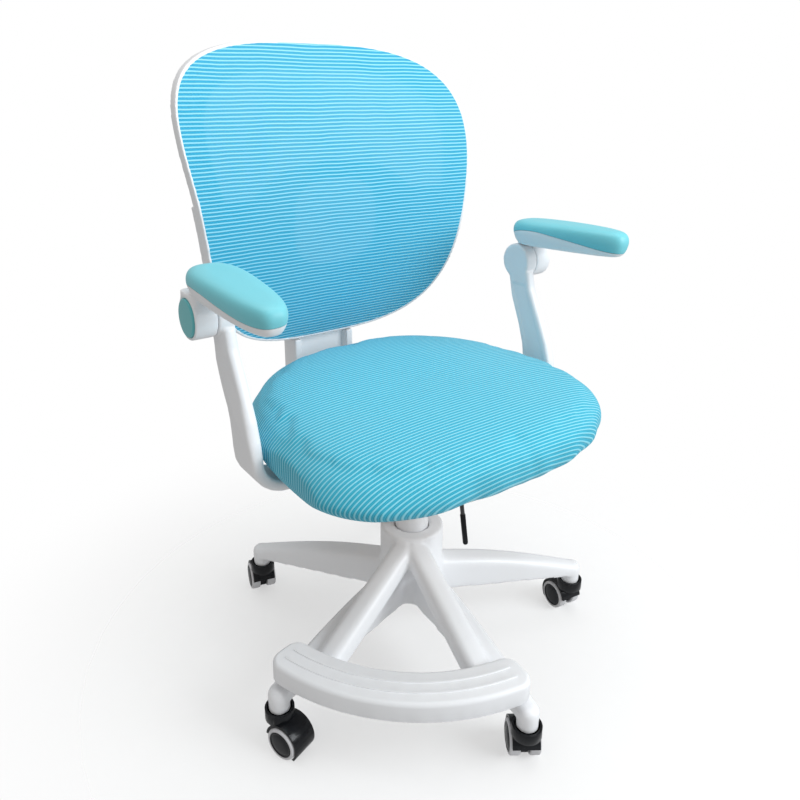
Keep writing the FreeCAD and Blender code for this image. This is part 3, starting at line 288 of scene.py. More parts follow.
def add(tree, kind, links=None, **settings):
    """A node with its settings, and with values or links on its inputs."""
    node = tree.nodes.new(kind)
    for key, value in settings.items():
        setattr(node, key, value)
    for key, value in (links or {}).items():
        if isinstance(value, bpy.types.NodeSocket):
            tree.links.new(value, node.inputs[key])
        else:
            node.inputs[key].default_value = value
    return node


def maths(tree, operation, first, second=0.0, third=0.0):
    node = add(tree, "ShaderNodeMath", {0: first, 1: second, 2: third}, operation=operation)
    return node.outputs[0]


def mixed(tree, share, first, second):
    """A colour between first and second."""
    node = add(tree, "ShaderNodeMix", data_type="RGBA")
    for key, value in ((0, share), (6, first), (7, second)):
        if isinstance(value, bpy.types.NodeSocket):
            tree.links.new(value, node.inputs[key])
        else:
            node.inputs[key].default_value = value
    return node.outputs[2]


def ramp(tree, value, low, high, to_low=0.0, to_high=1.0):
    node = add(tree, "ShaderNodeMapRange",
               {"Value": value, "From Min": low, "From Max": high, "To Min": to_low, "To Max": to_high},
               interpolation_type="SMOOTHSTEP")
    return node.outputs[0]


def build_grain(tree, given, out):
    fine = add(tree, "ShaderNodeTexNoise", {"Vector": given["Vector"], "Scale": given["Scale"], "Detail": 3.0,
                                            "Roughness": 0.6})
    broad = add(tree, "ShaderNodeTexNoise", {"Vector": given["Vector"], "Scale": 9.0, "Detail": 4.0})
    tree.links.new(fine.outputs[0], out["Height"])
    wide = ramp(tree, broad.outputs[0], 0.35, 0.7)
    both = maths(tree, "MULTIPLY_ADD", fine.outputs[0], 0.35, maths(tree, "MULTIPLY", wide, 0.65))
    rough = add(tree, "ShaderNodeMapRange",
                {"Value": both, "To Min": given["Smoothest"], "To Max": given["Roughest"]})
    tree.links.new(rough.outputs[0], out["Roughness"])


def grain_group():
    """Fine grain of a moulding or a coat: bump height and a roughness that varies."""
    return group("Surface grain",
                 [("Vector", "NodeSocketVector", None), ("Scale", "NodeSocketFloat", 900.0),
                  ("Smoothest", "NodeSocketFloat", 0.3), ("Roughest", "NodeSocketFloat", 0.45)],
                 [("Height", "NodeSocketFloat"), ("Roughness", "NodeSocketFloat")], build_grain)


def build_use(tree, given, out):
    cloud = add(tree, "ShaderNodeTexNoise", {"Vector": given["Vector"], "Scale": 6.0, "Detail": 5.0,
                                             "Roughness": 0.55})
    speck = add(tree, "ShaderNodeTexNoise", {"Vector": given["Vector"], "Scale": 70.0, "Detail": 2.0})
    spread = maths(tree, "MULTIPLY", ramp(tree, cloud.outputs[0], 0.42, 0.72), given["Amount"])
    dots = maths(tree, "MULTIPLY", ramp(tree, speck.outputs[0], 0.62, 0.75), given["Amount"])
    both = maths(tree, "MAXIMUM", spread, maths(tree, "MULTIPLY", dots, 0.6))
    tree.links.new(mixed(tree, both, given["Color"], given["Dust"]), out["Color"])


def use_group():
    """Faint clouds and specks of dust over a colour."""
    return group("Light use",
                 [("Vector", "NodeSocketVector", None), ("Color", "NodeSocketColor", (1, 1, 1, 1)),
                  ("Dust", "NodeSocketColor", (0.5, 0.47, 0.42, 1)), ("Amount", "NodeSocketFloat", 0.1)],
                 [("Color", "NodeSocketColor")], build_use)


def build_lines(tree, given, out):
    stray = add(tree, "ShaderNodeTexNoise", {"Vector": given["Vector"], "Scale": 14.0, "Detail": 2.0})
    shift = maths(tree, "MULTIPLY", maths(tree, "SUBTRACT", stray.outputs[0], 0.5), given["Stray"])
    phase = maths(tree, "DIVIDE", maths(tree, "ADD", given["Along"], shift), given["Pitch"])
    away = maths(tree, "ABSOLUTE", maths(tree, "SUBTRACT", maths(tree, "FRACT", phase), 0.5))
    line = add(tree, "ShaderNodeMapRange", {"Value": away, "From Min": given["Width"], "From Max": 0.04,
                                            "To Min": 0.0, "To Max": 1.0}, interpolation_type="SMOOTHSTEP")
    tree.links.new(line.outputs[0], out["Line"])
    row = maths(tree, "MULTIPLY", phase, given["Rows"])
    odd = maths(tree, "MULTIPLY", maths(tree, "MODULO", maths(tree, "FLOOR", row), 2.0), 0.5)
    stitch = maths(tree, "ADD", maths(tree, "DIVIDE", given["Across"], given["Stitch"]), odd)
    up = maths(tree, "ABSOLUTE", maths(tree, "SUBTRACT", maths(tree, "FRACT", row), 0.5))
    side = maths(tree, "ABSOLUTE", maths(tree, "SUBTRACT", maths(tree, "FRACT", stitch), 0.5))
    square = maths(tree, "ADD", maths(tree, "MULTIPLY", up, up), maths(tree, "MULTIPLY", side, side))
    reach = maths(tree, "SQRT", square)
    hole = ramp(tree, reach, 0.42, 0.22)
    open_part = maths(tree, "MULTIPLY", hole, maths(tree, "SUBTRACT", 1.0, line.outputs[0]))
    tree.links.new(open_part, out["Hole"])
    height = maths(tree, "SUBTRACT", line.outputs[0], maths(tree, "MULTIPLY", open_part, 0.45))
    tree.links.new(height, out["Height"])


def lines_group():
    """Raised lines of a knit, with staggered holes between them."""
    return group("Raised lines",
                 [("Vector", "NodeSocketVector", None), ("Along", "NodeSocketFloat", 0.0),
                  ("Across", "NodeSocketFloat", 0.0), ("Pitch", "NodeSocketFloat", 0.006),
                  ("Width", "NodeSocketFloat", 0.25), ("Stray", "NodeSocketFloat", 0.001),
                  ("Rows", "NodeSocketFloat", 4.0), ("Stitch", "NodeSocketFloat", 0.0018)],
                 [("Line", "NodeSocketFloat"), ("Hole", "NodeSocketFloat"), ("Height", "NodeSocketFloat")],
                 build_lines)


def new_material(name, **constants):
    """An empty material with a Principled BSDF and Object coordinates."""
    material = bpy.data.materials.new(name)
    material.use_nodes = True
    tree = material.node_tree
    tree.nodes.clear()
    shader = add(tree, "ShaderNodeBsdfPrincipled")
    for key, value in constants.items():
        shader.inputs[key.replace("_", " ")].default_value = value
    leave = add(tree, "ShaderNodeOutputMaterial")
    tree.links.new(shader.outputs[0], leave.inputs[0])
    spot = add(tree, "ShaderNodeTexCoord").outputs["Object"]
    return material, tree, shader, spot


def placed_group(tree, node_group, links):
    node = add(tree, "ShaderNodeGroup", node_tree=node_group)
    for key, value in links.items():
        if isinstance(value, bpy.types.NodeSocket):
            tree.links.new(value, node.inputs[key])
        else:
            node.inputs[key].default_value = value
    return node


def bumped(tree, shader, height, depth, strength=1.0):
    bump = add(tree, "ShaderNodeBump", {"Height": height, "Distance": depth, "Strength": strength})
    tree.links.new(bump.outputs[0], shader.inputs["Normal"])


def moulded(name, colour, smoothest, roughest, scale=900.0, depth=0.00003, amount=0.06,
            dust=(0.5, 0.47, 0.42, 1), **constants):
    """A moulded or coated surface with fine grain and faint use."""
    material, tree, shader, spot = new_material(name, **constants)
    grain = placed_group(tree, grain_group(), {"Vector": spot, "Scale": scale, "Smoothest": smoothest,
                                               "Roughest": roughest})
    use = placed_group(tree, use_group(), {"Vector": spot, "Color": (*colour, 1), "Dust": dust,
                                           "Amount": amount})
    tree.links.new(use.outputs["Color"], shader.inputs["Base Color"])
    tree.links.new(grain.outputs["Roughness"], shader.inputs["Roughness"])
    bumped(tree, shader, grain.outputs["Height"], depth)
    return material


def white_moulding():
    return bpy.data.materials.get("White moulding") or moulded(
        "White moulding", colours().moulding, 0.3, 0.42, amount=0.05, IOR=1.46)


def white_coat():
    return bpy.data.materials.get("White coat") or moulded(
        "White coat", [0.97 * part for part in colours().moulding], 0.22, 0.34, scale=600.0, depth=0.00005,
        amount=0.05, Coat_Weight=0.25, Coat_Roughness=0.15)


def black_moulding():
    return bpy.data.materials.get("Black moulding") or moulded(
        "Black moulding", (0.004, 0.005, 0.007), 0.16, 0.3, scale=1100.0, amount=0.03,
        dust=(0.12, 0.12, 0.12, 1), Specular_IOR_Level=0.3)


def bright_steel():
    return bpy.data.materials.get("Zinc plated steel") or moulded(
        "Zinc plated steel", (0.55, 0.55, 0.57), 0.22, 0.4, scale=1400.0, amount=0.1, Metallic=1.0)


def black_steel():
    return bpy.data.materials.get("Black steel") or moulded(
        "Black steel", (0.012, 0.012, 0.013), 0.26, 0.4, scale=700.0, amount=0.05, dust=(0.14, 0.13, 0.12, 1))


def tyre_compound():
    return bpy.data.materials.get("Soft grey tread") or moulded(
        "Soft grey tread", colours().tyre, 0.5, 0.68, scale=1500.0, depth=0.00008, amount=0.35,
        dust=(0.2, 0.18, 0.16, 1))


def pad_skin():
    return bpy.data.materials.get("Soft pad skin") or moulded(
        "Soft pad skin", colours().pad, 0.42, 0.56, scale=1700.0, depth=0.00006, amount=0.05,
        dust=(0.5, 0.62, 0.62, 1), Sheen_Weight=0.15, Sheen_Roughness=0.4)


def cap_gloss():
    return bpy.data.materials.get("Cap gloss") or moulded(
        "Cap gloss", colours().cap, 0.24, 0.36, amount=0.05, dust=(0.4, 0.5, 0.5, 1), Coat_Weight=0.2,
        Coat_Roughness=0.2)


def bare_plywood():
    material = bpy.data.materials.get("Bare plywood")
    if material:
        return material
    material, tree, shader, spot = new_material("Bare plywood")
    turn = add(tree, "ShaderNodeMapping", {"Vector": spot, "Scale": (60.0, 6.0, 300.0)})
    figure = add(tree, "ShaderNodeTexNoise", {"Vector": turn.outputs[0], "Scale": 1.0, "Detail": 6.0,
                                              "Distortion": 0.6})
    share = ramp(tree, figure.outputs[0], 0.3, 0.7)
    wood = mixed(tree, share, (0.42, 0.27, 0.14, 1), (0.62, 0.45, 0.27, 1))
    tree.links.new(wood, shader.inputs["Base Color"])
    tree.links.new(ramp(tree, figure.outputs[0], 0.2, 0.8, 0.6, 0.8), shader.inputs["Roughness"])
    bumped(tree, shader, figure.outputs[0], 0.0002)
    return material


def axes_of(tree, spot):
    parts = add(tree, "ShaderNodeSeparateXYZ", {0: spot})
    return parts.outputs


def seat_cover():
    """Knitted cover: pale raised lines from left to right that wrap down over the sides."""
    material, tree, shader, spot = new_material(
        "Seat cover", Sheen_Weight=0.16, Sheen_Roughness=0.45, Specular_IOR_Level=0.25)
    along = add(tree, "ShaderNodeAttribute", attribute_name="along").outputs["Fac"]
    across = add(tree, "ShaderNodeAttribute", attribute_name="across").outputs["Fac"]
    lines = placed_group(tree, lines_group(), {
        "Vector": spot, "Along": along, "Across": across, "Pitch": shape().seat_pitch, "Width": 0.3,
        "Stray": 0.0012, "Rows": 3.0, "Stitch": 0.0021})
    ground, line = (*colours().seat_ground, 1), (*colours().seat_line, 1)
    # The holes between the lines are painted darker than the ground: painted shade in the knit's holes.
    hole_shade = tuple(0.55 * part for part in ground[:3]) + (1,)
    base = mixed(tree, maths(tree, "MULTIPLY", lines.outputs["Hole"], 0.55), ground, hole_shade)
    base = mixed(tree, maths(tree, "MULTIPLY", lines.outputs["Line"], 0.75), base, line)
    use = placed_group(tree, use_group(), {"Vector": spot, "Color": base, "Dust": (0.3, 0.5, 0.55, 1),
                                           "Amount": 0.08})
    tree.links.new(use.outputs["Color"], shader.inputs["Base Color"])
    tree.links.new(ramp(tree, lines.outputs["Line"], 0, 1, 0.85, 0.6), shader.inputs["Roughness"])
    bumped(tree, shader, lines.outputs["Height"], 0.0006, 0.8)
    return material


def back_net():
    """Open mesh: pale raised lines from left to right and see-through rows between them."""
    material, tree, shader, spot = new_material(
        "Back net", Sheen_Weight=0.16, Sheen_Roughness=0.4, Specular_IOR_Level=0.3)
    place = axes_of(tree, spot)
    lines = placed_group(tree, lines_group(), {
        "Vector": spot, "Along": place[2], "Across": place[0], "Pitch": shape().mesh_pitch, "Width": 0.32,
        "Stray": 0.0034, "Rows": 3.0, "Stitch": 0.0020})
    ground, line = (*colours().mesh_ground, 1), (*colours().mesh_line, 1)
    # The holes between the lines are painted darker than the ground as painted shade, on top of their
    # see-through share in Alpha below.
    hole_shade = tuple(0.5 * part for part in ground[:3]) + (1,)
    base = mixed(tree, maths(tree, "MULTIPLY", lines.outputs["Hole"], 0.6), ground, hole_shade)
    base = mixed(tree, maths(tree, "MULTIPLY", lines.outputs["Line"], 0.8), base, line)
    use = placed_group(tree, use_group(), {"Vector": spot, "Color": base, "Dust": (0.35, 0.6, 0.7, 1),
                                           "Amount": 0.06})
    tree.links.new(use.outputs["Color"], shader.inputs["Base Color"])
    tree.links.new(ramp(tree, lines.outputs["Line"], 0, 1, 0.7, 0.45), shader.inputs["Roughness"])
    closed = maths(tree, "SUBTRACT", 1.0, maths(tree, "MULTIPLY", lines.outputs["Hole"], 0.12))
    tree.links.new(closed, shader.inputs["Alpha"])
    bumped(tree, shader, lines.outputs["Height"], 0.0005, 0.8)
    return material


def pale_floor():
    """A pale floor that fades out away from the chair."""
    material, tree, shader, spot = new_material("Pale floor", Roughness=0.8)
    grain = add(tree, "ShaderNodeTexNoise", {"Vector": spot, "Scale": 30.0, "Detail": 3.0})
    tree.links.new(mixed(tree, grain.outputs[0], (0.93, 0.93, 0.93, 1), (0.96, 0.96, 0.96, 1)),
                   shader.inputs["Base Color"])
    away = add(tree, "ShaderNodeVectorMath", {0: spot}, operation="LENGTH")
    tree.links.new(ramp(tree, away.outputs["Value"], 0.2, 0.8, 0.5, 0.0), shader.inputs["Alpha"])
    return material


# ---------------------------------------------------------------- pieces


class CHAIR_OT_base(bpy.types.Operator):
    """Build the star base and finish the footrest on it"""

    bl_idname = "chair.base"
    bl_label = "Star base and footrest"

    def execute(self, context):
        star = melted("star_moulding", own_mesh("base_star"), shape().moulding_cell, 7)
        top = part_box("base_star")[1].z
        eased(star, lambda co: min((0.115 - math.hypot(co.x, co.y)) / 0.04, (top - 0.02 - co.z) / 0.012), 26)
        finished(star, "base", "white_plastic", white_moulding(), "base_star")
        rest = edged(as_object("footrest_moulding", own_mesh("footrest")), 0.0008)
        finished(rest, "base", "white_plastic", white_moulding(), "footrest")
        dressed(bright_steel(), "footrest_screws", "castor_stems")
        return {"FINISHED"}


class CHAIR_OT_column(bpy.types.Operator):
    """Finish the lift column and its parts"""

    bl_idname = "chair.column"
    bl_label = "Lift column"

    def execute(self, context):
        tube = edged(as_object("column_sleeve", own_mesh("column_tube")), 0.0008)
        finished(tube, "base", "white_metal", white_coat(), "column_tube")
        bush = edged(as_object("column_bush", own_mesh("column_bushing")), 0.0008)
        finished(bush, "base", "column_plastic", white_moulding(), "column_bushing")
        dressed(bright_steel(), "thrust_bearing", "piston_rod", "valve_button")
        dressed(black_steel(), "gas_cylinder")
        return {"FINISHED"}


class CHAIR_OT_castors(bpy.types.Operator):
    """Build the five twin-wheel castors"""

    bl_idname = "chair.castors"
    bl_label = "Castors"

    def execute(self, context):
        tread = [(17.7, 6.3), (20.6, 6.3), (21.6, 6.9), (22.0, 8.2), (22.0, 17.4), (21.7, 19.0), (20.9, 20.1),
                 (19.8, 20.5), (18.2, 20.5), (17.7, 20.1)]
        face = [(0, 6.2), (4.0, 6.2), (17.5, 6.2), (17.5, 20.6), (16.9, 21.0), (16.0, 21.0), (15.4, 20.4),
                (15.0, 20.2), (14.4, 20.5), (11.0, 21.5), (6.0, 21.9), (0, 22.0)]
        for name in CASTORS:
            hood = edged(as_object("hood_" + name, own_mesh("castor_hood_" + name)), 0.0010)
            finished(hood, "castor_" + name, "black_plastic", black_moulding(), "castor_hood_" + name)
            dressed(bright_steel(), "castor_axle_" + name)
            for letter, side in (("a", 1), ("b", -1)):
                joint = JOINTS["wheel_spin_%s_%s" % (name, letter)]
                out = side * Vector(joint["axis"])
                turn = Matrix.Rotation(math.atan2(-out.x, out.y), 4, "Z")
                place = Matrix.Translation(Vector(joint["pos_m"])) @ turn @ Matrix.Scale(MM, 4)
                body = "wheel_%s_%s" % (name, letter)
                ring = turned_profile("tread_%s_%s" % (name, letter), tread, 64)
                ring.data.transform(place)
                finished(ring, body, "tyre_grey", tyre_compound(), "tyre_%s_%s" % (name, letter))
                disc = turned_profile("disc_%s_%s" % (name, letter), face, 48)
                disc.data.transform(place)
                finished(disc, body, "black_plastic", black_moulding(), "wheel_disc_%s_%s" % (name, letter))
        return {"FINISHED"}


def puffed(thing, cap):
    """Swell a closed cloth mesh by a little air inside it; no point moves further out than cap."""
    start, normals = points_of(thing.data), points_of(thing.data, "normal")
    cloth = thing.modifiers.new("Cloth", "CLOTH")
    cloth.settings.quality = 4
    cloth.settings.mass = 0.3
    cloth.settings.tension_stiffness = 15
    cloth.settings.compression_stiffness = 15
    cloth.settings.bending_stiffness = 0.6
    cloth.settings.use_pressure = True
    cloth.settings.uniform_pressure_force = 4
    cloth.settings.effector_weights.gravity = 0
    cloth.point_cache.frame_start, cloth.point_cache.frame_end = 1, 20
    for step in range(1, 21):
        bpy.context.scene.frame_set(step)
    baked(thing)
    bpy.context.scene.frame_set(1)
    moved = points_of(thing.data) - start
    outward = (moved * normals).sum(axis=1, keepdims=True)
    place = start + normals * cap * np.tanh(np.clip(outward / cap, -0.4, None))
    thing.data.vertices.foreach_set("co", place.ravel())
    thing.data.update()
    return thing


def weave_marks(thing, middle, half_wide, half_deep, crown):
    """Store how far each point lies along and across the cover's cloth, over the top and down the sides."""
    mesh = thing.data
    co = points_of(mesh)
    u, v = co[:, 0] / half_wide, (co[:, 1] - middle) / half_deep
    forward, sideways = np.abs(v) ** 3, np.abs(u) ** 3
    front = forward / (sideways + forward + 1e-6)
    drop = np.clip(crown - co[:, 2], 0, None)
    along = co[:, 1] + np.sign(v) * drop * front
    across = co[:, 0] + np.sign(u) * drop * (1 - front)
    for name, values in (("along", along), ("across", across)):
        mark = mesh.attributes.new(name, "FLOAT", "POINT")
        mark.data.foreach_set("value", values.astype(np.float32))


SLACK = 0.0028  # how far the cloth starts inside the cushion's outline
LOW_EDGE = 0.418  # height below which the cushion's sides are full
LEFT_LIMIT = -0.2415  # where the cushion meets the left arm


def shaped_cushion(cushion, low, middle, high):
    """Give the cushion its ripples, its crease at the front and its full lower left side, flat underneath."""
    floor = low.z + 0.0004
    for vert in cushion.data.vertices:
        co = vert.co
        edge = min(1.0, math.hypot(co.x / high.x, (co.y - middle.y) / (high.y - middle.y)))
        ripple = noise.noise(Vector((co.x * 9, co.y * 9, co.z * 6))) * 0.0011 * edge
        crease = math.exp(-((co.x - 0.012 + 0.2 * (co.z - 0.40)) / 0.010) ** 2)
        crease *= 0.0022 * clamped((-co.y - 0.16) / 0.05)
        under = clamped((LOW_EDGE - co.z) / 0.028)
        lumps = math.sin(co.x * 95 + co.y * 60) * 0.0012 * under * edge
        full = 0.017 * under * clamped((-co.x - 0.08) / 0.10) * edge ** 4
        out = Vector((co.x, co.y - middle.y, 0)).normalized()
        co += out * (ripple + lumps + full - crease)
        co.x = max(co.x, LEFT_LIMIT + 0.3 * max(0.0, 0.385 - co.z))
        co.z = max(co.z, floor)


class CHAIR_OT_cushion(bpy.types.Operator):
    """Build the padded seat in its knitted cover"""

    bl_idname = "chair.cushion"
    bl_label = "Seat cushion"

    def execute(self, context):
        low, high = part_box("seat_cushion")
        middle = (low + high) / 2
        bm = own_mesh("seat_cushion")
        shrink = 1 - 2 * SLACK / (high.y - low.y)
        bmesh.ops.translate(bm, verts=bm.verts, vec=-middle)
        bmesh.ops.scale(bm, verts=bm.verts, vec=(shrink, shrink, 0.985))
        bmesh.ops.translate(bm, verts=bm.verts, vec=middle)
        cushion = remeshed(as_object("seat_pad", bm), shape().cushion_cell)
        smooth = cushion.modifiers.new("Smooth", "SMOOTH")
        smooth.iterations = 4
        baked(cushion)
        puffed(cushion, shape().cushion_swell)
        shaped_cushion(cushion, low, middle, high)
        subdivide = cushion.modifiers.new("Subdivision", "SUBSURF")
        subdivide.levels = subdivide.render_levels = 1
        baked(cushion)
        cushion.data.shade_smooth()
        weave_marks(cushion, middle.y, high.x, high.y - middle.y, high.z)
        finished(cushion, "seat", "seat_fabric", seat_cover(), "seat_cushion")
        return {"FINISHED"}


class CHAIR_OT_underseat(bpy.types.Operator):
    """Finish the pan, the lift plate, the bolts and the lever"""

    bl_idname = "chair.underseat"
    bl_label = "Under the seat"

    def execute(self, context):
        dressed(bare_plywood(), "seat_pan")
        dressed(bright_steel(), "underseat_bolts", "pivot_pins", "back_screws")
        plate = edged(as_object("lift_plate", own_mesh("mechanism_plate")), 0.0010)
        finished(plate, "seat", "white_plastic", white_moulding(), "mechanism_plate")
        rod = as_object("lever_rod", own_mesh("lift_lever"))
        finished(edged(rod, 0.0005, 50), "lever", "black_steel", black_steel(), "lift_lever")
        grip = as_object("lever_handle", own_mesh("lever_grip"))
        finished(edged(grip, 0.0012, 40), "lever", "black_plastic", black_moulding(), "lever_grip")
        return {"FINISHED"}


class CHAIR_OT_back(bpy.types.Operator):
    """Build the back's frame, its support and the upright"""

    bl_idname = "chair.back"
    bl_label = "Back shell"

    def execute(self, context):
        for piece, node, rounds in (("back_ring", "back_frame", 4), ("back_brace", "back_support", 9),
                                    ("back_post", "back_upright", 6)):
            thing = melted(piece, own_mesh(node), shape().moulding_cell, rounds)
            finished(thing, "seat", "white_plastic", white_moulding(), node)
        return {"FINISHED"}


class CHAIR_OT_net(bpy.types.Operator):
    """Build the stretched mesh of the back"""

    bl_idname = "chair.net"
    bl_label = "Back mesh"

    def execute(self, context):
        bm = own_mesh("back_mesh")
        bm.normal_update()
        behind = [face for face in bm.faces if face.normal.y > -0.3]
        bmesh.ops.delete(bm, geom=behind, context="FACES")
        net = as_object("back_net_sheet", bm)
        finished(net, "seat", "mesh_fabric", back_net(), "back_mesh")
        return {"FINISHED"}


PAD_DEEP = 0.0385  # depth of a pad and its shell together
FRONT_DROP = 0.004  # how much lower a pad's top is at its front end
JOINT_GAP = 0.0003  # half the joint between a pad and its shell
# the joint of a pad and its shell along each side: share of the length from the rear, share of the depth
OUTER_WAVE = ((0.0, 0.12), (0.1, 0.42), (0.25, 0.56), (0.4, 0.5), (0.6, 0.3), (0.8, 0.12), (1.0, 0.07))
INNER_WAVE = ((0.0, -0.1), (0.06, 0.15), (0.16, 0.5), (0.33, 0.62), (0.64, 0.46), (0.9, 0.26), (1.0, 0.2))


def wave_height(wave, share):
    """Height of a wave at share of the pad's length, with its corners eased."""
    shares, heights = zip(*wave)
    near = (-0.06, -0.03, 0, 0.03, 0.06)
    return sum(float(np.interp(share + nudge, shares, heights)) for nudge in near) / len(near)


def wave_block(low, high, gap, upward):
    """A closed block whose near face follows the joint of an arm pad and its shell."""
    bm = bmesh.new()
    bmesh.ops.create_grid(bm, x_segments=10, y_segments=60, size=0.5)
    right = low.x > 0
    for vert in bm.verts:
        share = 0.5 - vert.co.y
        outward = 0.5 + vert.co.x if right else 0.5 - vert.co.x
        height = outward * wave_height(OUTER_WAVE, share) + (1 - outward) * wave_height(INNER_WAVE, share)
        vert.co = Vector((low.x + (high.x - low.x) * (vert.co.x * 1.3 + 0.5),
                          high.y - (high.y - low.y) * (share * 1.2 - 0.1),
                          low.z + (high.z - low.z) * height + gap))
    made = bmesh.ops.extrude_face_region(bm, geom=bm.faces[:])
    moved = [part for part in made["geom"] if isinstance(part, bmesh.types.BMVert)]
    reach = 0.12 if upward else -0.12
    bmesh.ops.translate(bm, verts=moved, vec=(0, 0, reach))
    bmesh.ops.recalc_face_normals(bm, faces=bm.faces)
    return as_object("wave_block", bm)


def kept_part(name, source, block):
    """The part of source that lies inside block."""
    thing = bpy.data.objects.new(name, source.data.copy())
    bpy.context.scene.collection.objects.link(thing)
    boolean = thing.modifiers.new("Boolean", "BOOLEAN")
    boolean.operation = "INTERSECT"
    boolean.solver = "EXACT"
    boolean.object = block
    baked(thing)
    bpy.data.objects.remove(block)
    return thing


# the two ends of the crease on an arm's outer side: depth and height
CREASE = ((0.066, 0.512), (-0.022, 0.412))


def creased(blade):
    """Raise a soft crease across the outer side of an arm."""
    (y0, z0), (y1, z1) = CREASE
    length = math.hypot(y1 - y0, z1 - z0)
    for vert in blade.data.vertices:
        co, outward = vert.co, vert.normal.x * math.copysign(1, vert.co.x)
        along = ((co.y - y0) * (y1 - y0) + (co.z - z0) * (z1 - z0)) / length
        aside = abs((co.y - y0) * (z1 - z0) - (co.z - z0) * (y1 - y0)) / length
        fade = clamped(1.2 - abs(2 * along / length - 1))
        lift = max(0.0, 1 - aside / 0.020) * fade * max(0.0, outward)
        co.x += math.copysign(0.0048 * lift, co.x)
    return blade


# the middle of an arm: height, depth and width
ARM_LINE = ((0.398, 0.002, 0.060), (0.412, 0.004, 0.058), (0.437, 0.010, 0.054), (0.471, 0.024, 0.049),
            (0.515, 0.045, 0.045), (0.546, 0.052, 0.044))


def panelled(blade):
    """Sink a shallow panel into the inner side of an arm."""
    heights, depths, widths = zip(*ARM_LINE)
    for vert in blade.data.vertices:
        co, inward = vert.co, -vert.normal.x * math.copysign(1, vert.co.x)
        aside = abs(co.y - np.interp(co.z, heights, depths)) / np.interp(co.z, heights, widths)
        ends = min((0.531 - co.z) / 0.004, (co.z - 0.385) / 0.012)
        sink = clamped((0.35 - aside) / 0.05) * clamped(ends)
        co.x += math.copysign(0.0016 * sink * max(0.0, inward), co.x)
    return blade


def build_arm(side):
    blade = melted("arm_blade_" + side, own_mesh("arm_" + side), shape().fine_cell * 1.2, 8)
    panelled(creased(blade))
    finished(blade, "seat", "white_plastic", white_moulding(), "arm_" + side)


def whole_armrest(side, rear_low, low, high):
    """Pad and shell melted into one, with a soft domed top that falls a little towards the front."""
    whole = melted("whole_" + side, own_mesh("arm_pad_" + side, "pad_base_" + side), shape().fine_cell, 12)

    def lift(co):
        return clamped((co.z - low.z) / (high.z - low.z))

    for vert in whole.data.vertices:
        ahead = (high.y - vert.co.y) / (high.y - rear_low.y)
        vert.co.z -= FRONT_DROP * lift(vert.co) * max(0.0, (ahead - 0.35) / 0.65) ** 2
    eased(whole, lambda co: (co.z - high.z + 0.022) / 0.012, 14)
    missing = high.z - max(vert.co.z for vert in whole.data.vertices)
    for vert in whole.data.vertices:
        vert.co.z += missing * lift(vert.co)
    return whole


def build_armrest(side):
    body = "armrest_" + side
    pad_low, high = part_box("arm_pad_" + side)
    low = Vector((pad_low.x, pad_low.y, high.z - PAD_DEEP))
    whole = whole_armrest(side, pad_low, low, high)
    pad = kept_part("pad_" + side, whole, wave_block(low, high, JOINT_GAP, True))
    shell = kept_part("pad_shell_" + side, whole, wave_block(low, high, -JOINT_GAP, False))
    bpy.data.objects.remove(whole)
    for thing in (pad, shell):
        edged(thing, 0.0006, 50)
    finished(pad, body, "pad_turquoise", pad_skin(), "arm_pad_" + side)
    finished(shell, body, "white_plastic", white_moulding(), "pad_base_" + side)
    cap = edged(as_object("hinge_cap_" + side, own_mesh("pivot_cap_" + side)), 0.0006)
    finished(cap, body, "cap_turquoise", cap_gloss(), "pivot_cap_" + side)


class CHAIR_OT_armrests(bpy.types.Operator):
    """Build the two arms with their flip-up pads"""

    bl_idname = "chair.armrests"
    bl_label = "Arms and pads"

    def execute(self, context):
        for side in SIDES:
            build_arm(side)
            build_armrest(side)
        return {"FINISHED"}


# ---------------------------------------------------------------- stage


def area_light(name, power, colour, size, at, towards):
    light = bpy.data.lights.new(name, "AREA")
    light.energy, light.color, light.size = power, colour, size
    lamp = bpy.data.objects.new(name, light)
    lamp.location = at
    lamp.rotation_euler = (Vector(towards) - Vector(at)).to_track_quat("-Z", "Y").to_euler()
    bpy.context.scene.collection.objects.link(lamp)


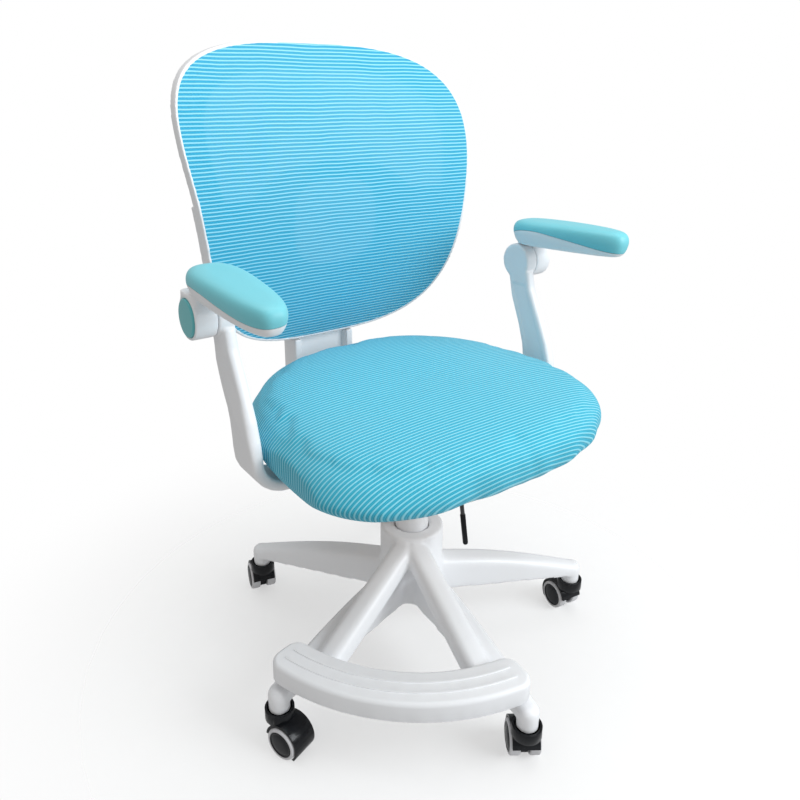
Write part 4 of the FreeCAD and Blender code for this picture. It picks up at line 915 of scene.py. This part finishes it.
class CHAIR_OT_stage(bpy.types.Operator):
    """Set up the floor, the lights and the camera"""

    bl_idname = "chair.stage"
    bl_label = "Stage"

    def execute(self, context):
        values = context.scene.chair_stage
        bm = bmesh.new()
        bmesh.ops.create_circle(bm, cap_ends=True, segments=96, radius=2.4)
        floor = as_object("floor", bm)
        floor.data.materials.append(pale_floor())
        area_light("Key", values.key_power, (0.93, 0.97, 1.0), 1.4, (1.1, -1.9, 1.5), (0, 0, 0.45))
        area_light("Fill", values.fill_power, (1.0, 0.90, 0.78), 1.6, (-2.0, -0.6, 0.9), (0, 0, 0.45))
        area_light("Top", values.top_power, (1.0, 1.0, 1.0), 2.0, (0.1, 0.1, 2.4), (0, 0, 0.4))
        world = bpy.data.worlds.new("Room")
        world.use_nodes = True
        air = world.node_tree.nodes["Background"]
        air.inputs[0].default_value = (1.0, 1.0, 1.0, 1)
        seen = add(world.node_tree, "ShaderNodeLightPath").outputs["Is Camera Ray"]
        world.node_tree.links.new(ramp(world.node_tree, seen, 0.0, 1.0, values.room, 1.0), air.inputs[1])
        context.scene.world = world
        context.scene.view_settings.view_transform = "Standard"
        lens = bpy.data.cameras.new("Camera")
        lens.sensor_width = 36
        lens.lens = values.lens
        lens.shift_x, lens.shift_y = 0.0220, -0.0934
        camera = bpy.data.objects.new("Camera", lens)
        camera.location = (-0.5898, -0.7619, 0.82265)
        camera.rotation_euler = (math.radians(72.36), 0, math.radians(-35.1))
        context.scene.collection.objects.link(camera)
        context.scene.camera = camera
        return {"FINISHED"}


class CHAIR_PT_panel(bpy.types.Panel):
    """Builds the chair piece by piece"""

    bl_idname = "CHAIR_PT_panel"
    bl_label = "Study chair"
    bl_space_type = "VIEW_3D"
    bl_region_type = "UI"
    bl_category = "Study chair"

    def draw(self, context):
        layout = self.layout
        for settings in (context.scene.chair_shape, context.scene.chair_colours, context.scene.chair_stage):
            box = layout.box()
            for name in settings.__annotations__:
                box.prop(settings, name)
        for operator in OPERATORS:
            layout.operator(operator.bl_idname)


OPERATORS = (CHAIR_OT_base, CHAIR_OT_column, CHAIR_OT_castors, CHAIR_OT_cushion, CHAIR_OT_underseat,
             CHAIR_OT_back, CHAIR_OT_net, CHAIR_OT_armrests, CHAIR_OT_stage)
CLASSES = (ChairShape, ChairColours, ChairStage) + OPERATORS + (CHAIR_PT_panel,)


def register():
    for cls in CLASSES:
        bpy.utils.register_class(cls)
    bpy.types.Scene.chair_shape = bpy.props.PointerProperty(type=ChairShape)
    bpy.types.Scene.chair_colours = bpy.props.PointerProperty(type=ChairColours)
    bpy.types.Scene.chair_stage = bpy.props.PointerProperty(type=ChairStage)


def unregister():
    del bpy.types.Scene.chair_stage
    del bpy.types.Scene.chair_colours
    del bpy.types.Scene.chair_shape
    for cls in reversed(CLASSES):
        bpy.utils.unregister_class(cls)


def main():
    register()
    bpy.ops.chair.base()
    bpy.ops.chair.column()
    bpy.ops.chair.castors()
    bpy.ops.chair.cushion()
    bpy.ops.chair.underseat()
    bpy.ops.chair.back()
    bpy.ops.chair.net()
    bpy.ops.chair.armrests()
    bpy.ops.chair.stage()


if __name__ == "__main__":
    main()
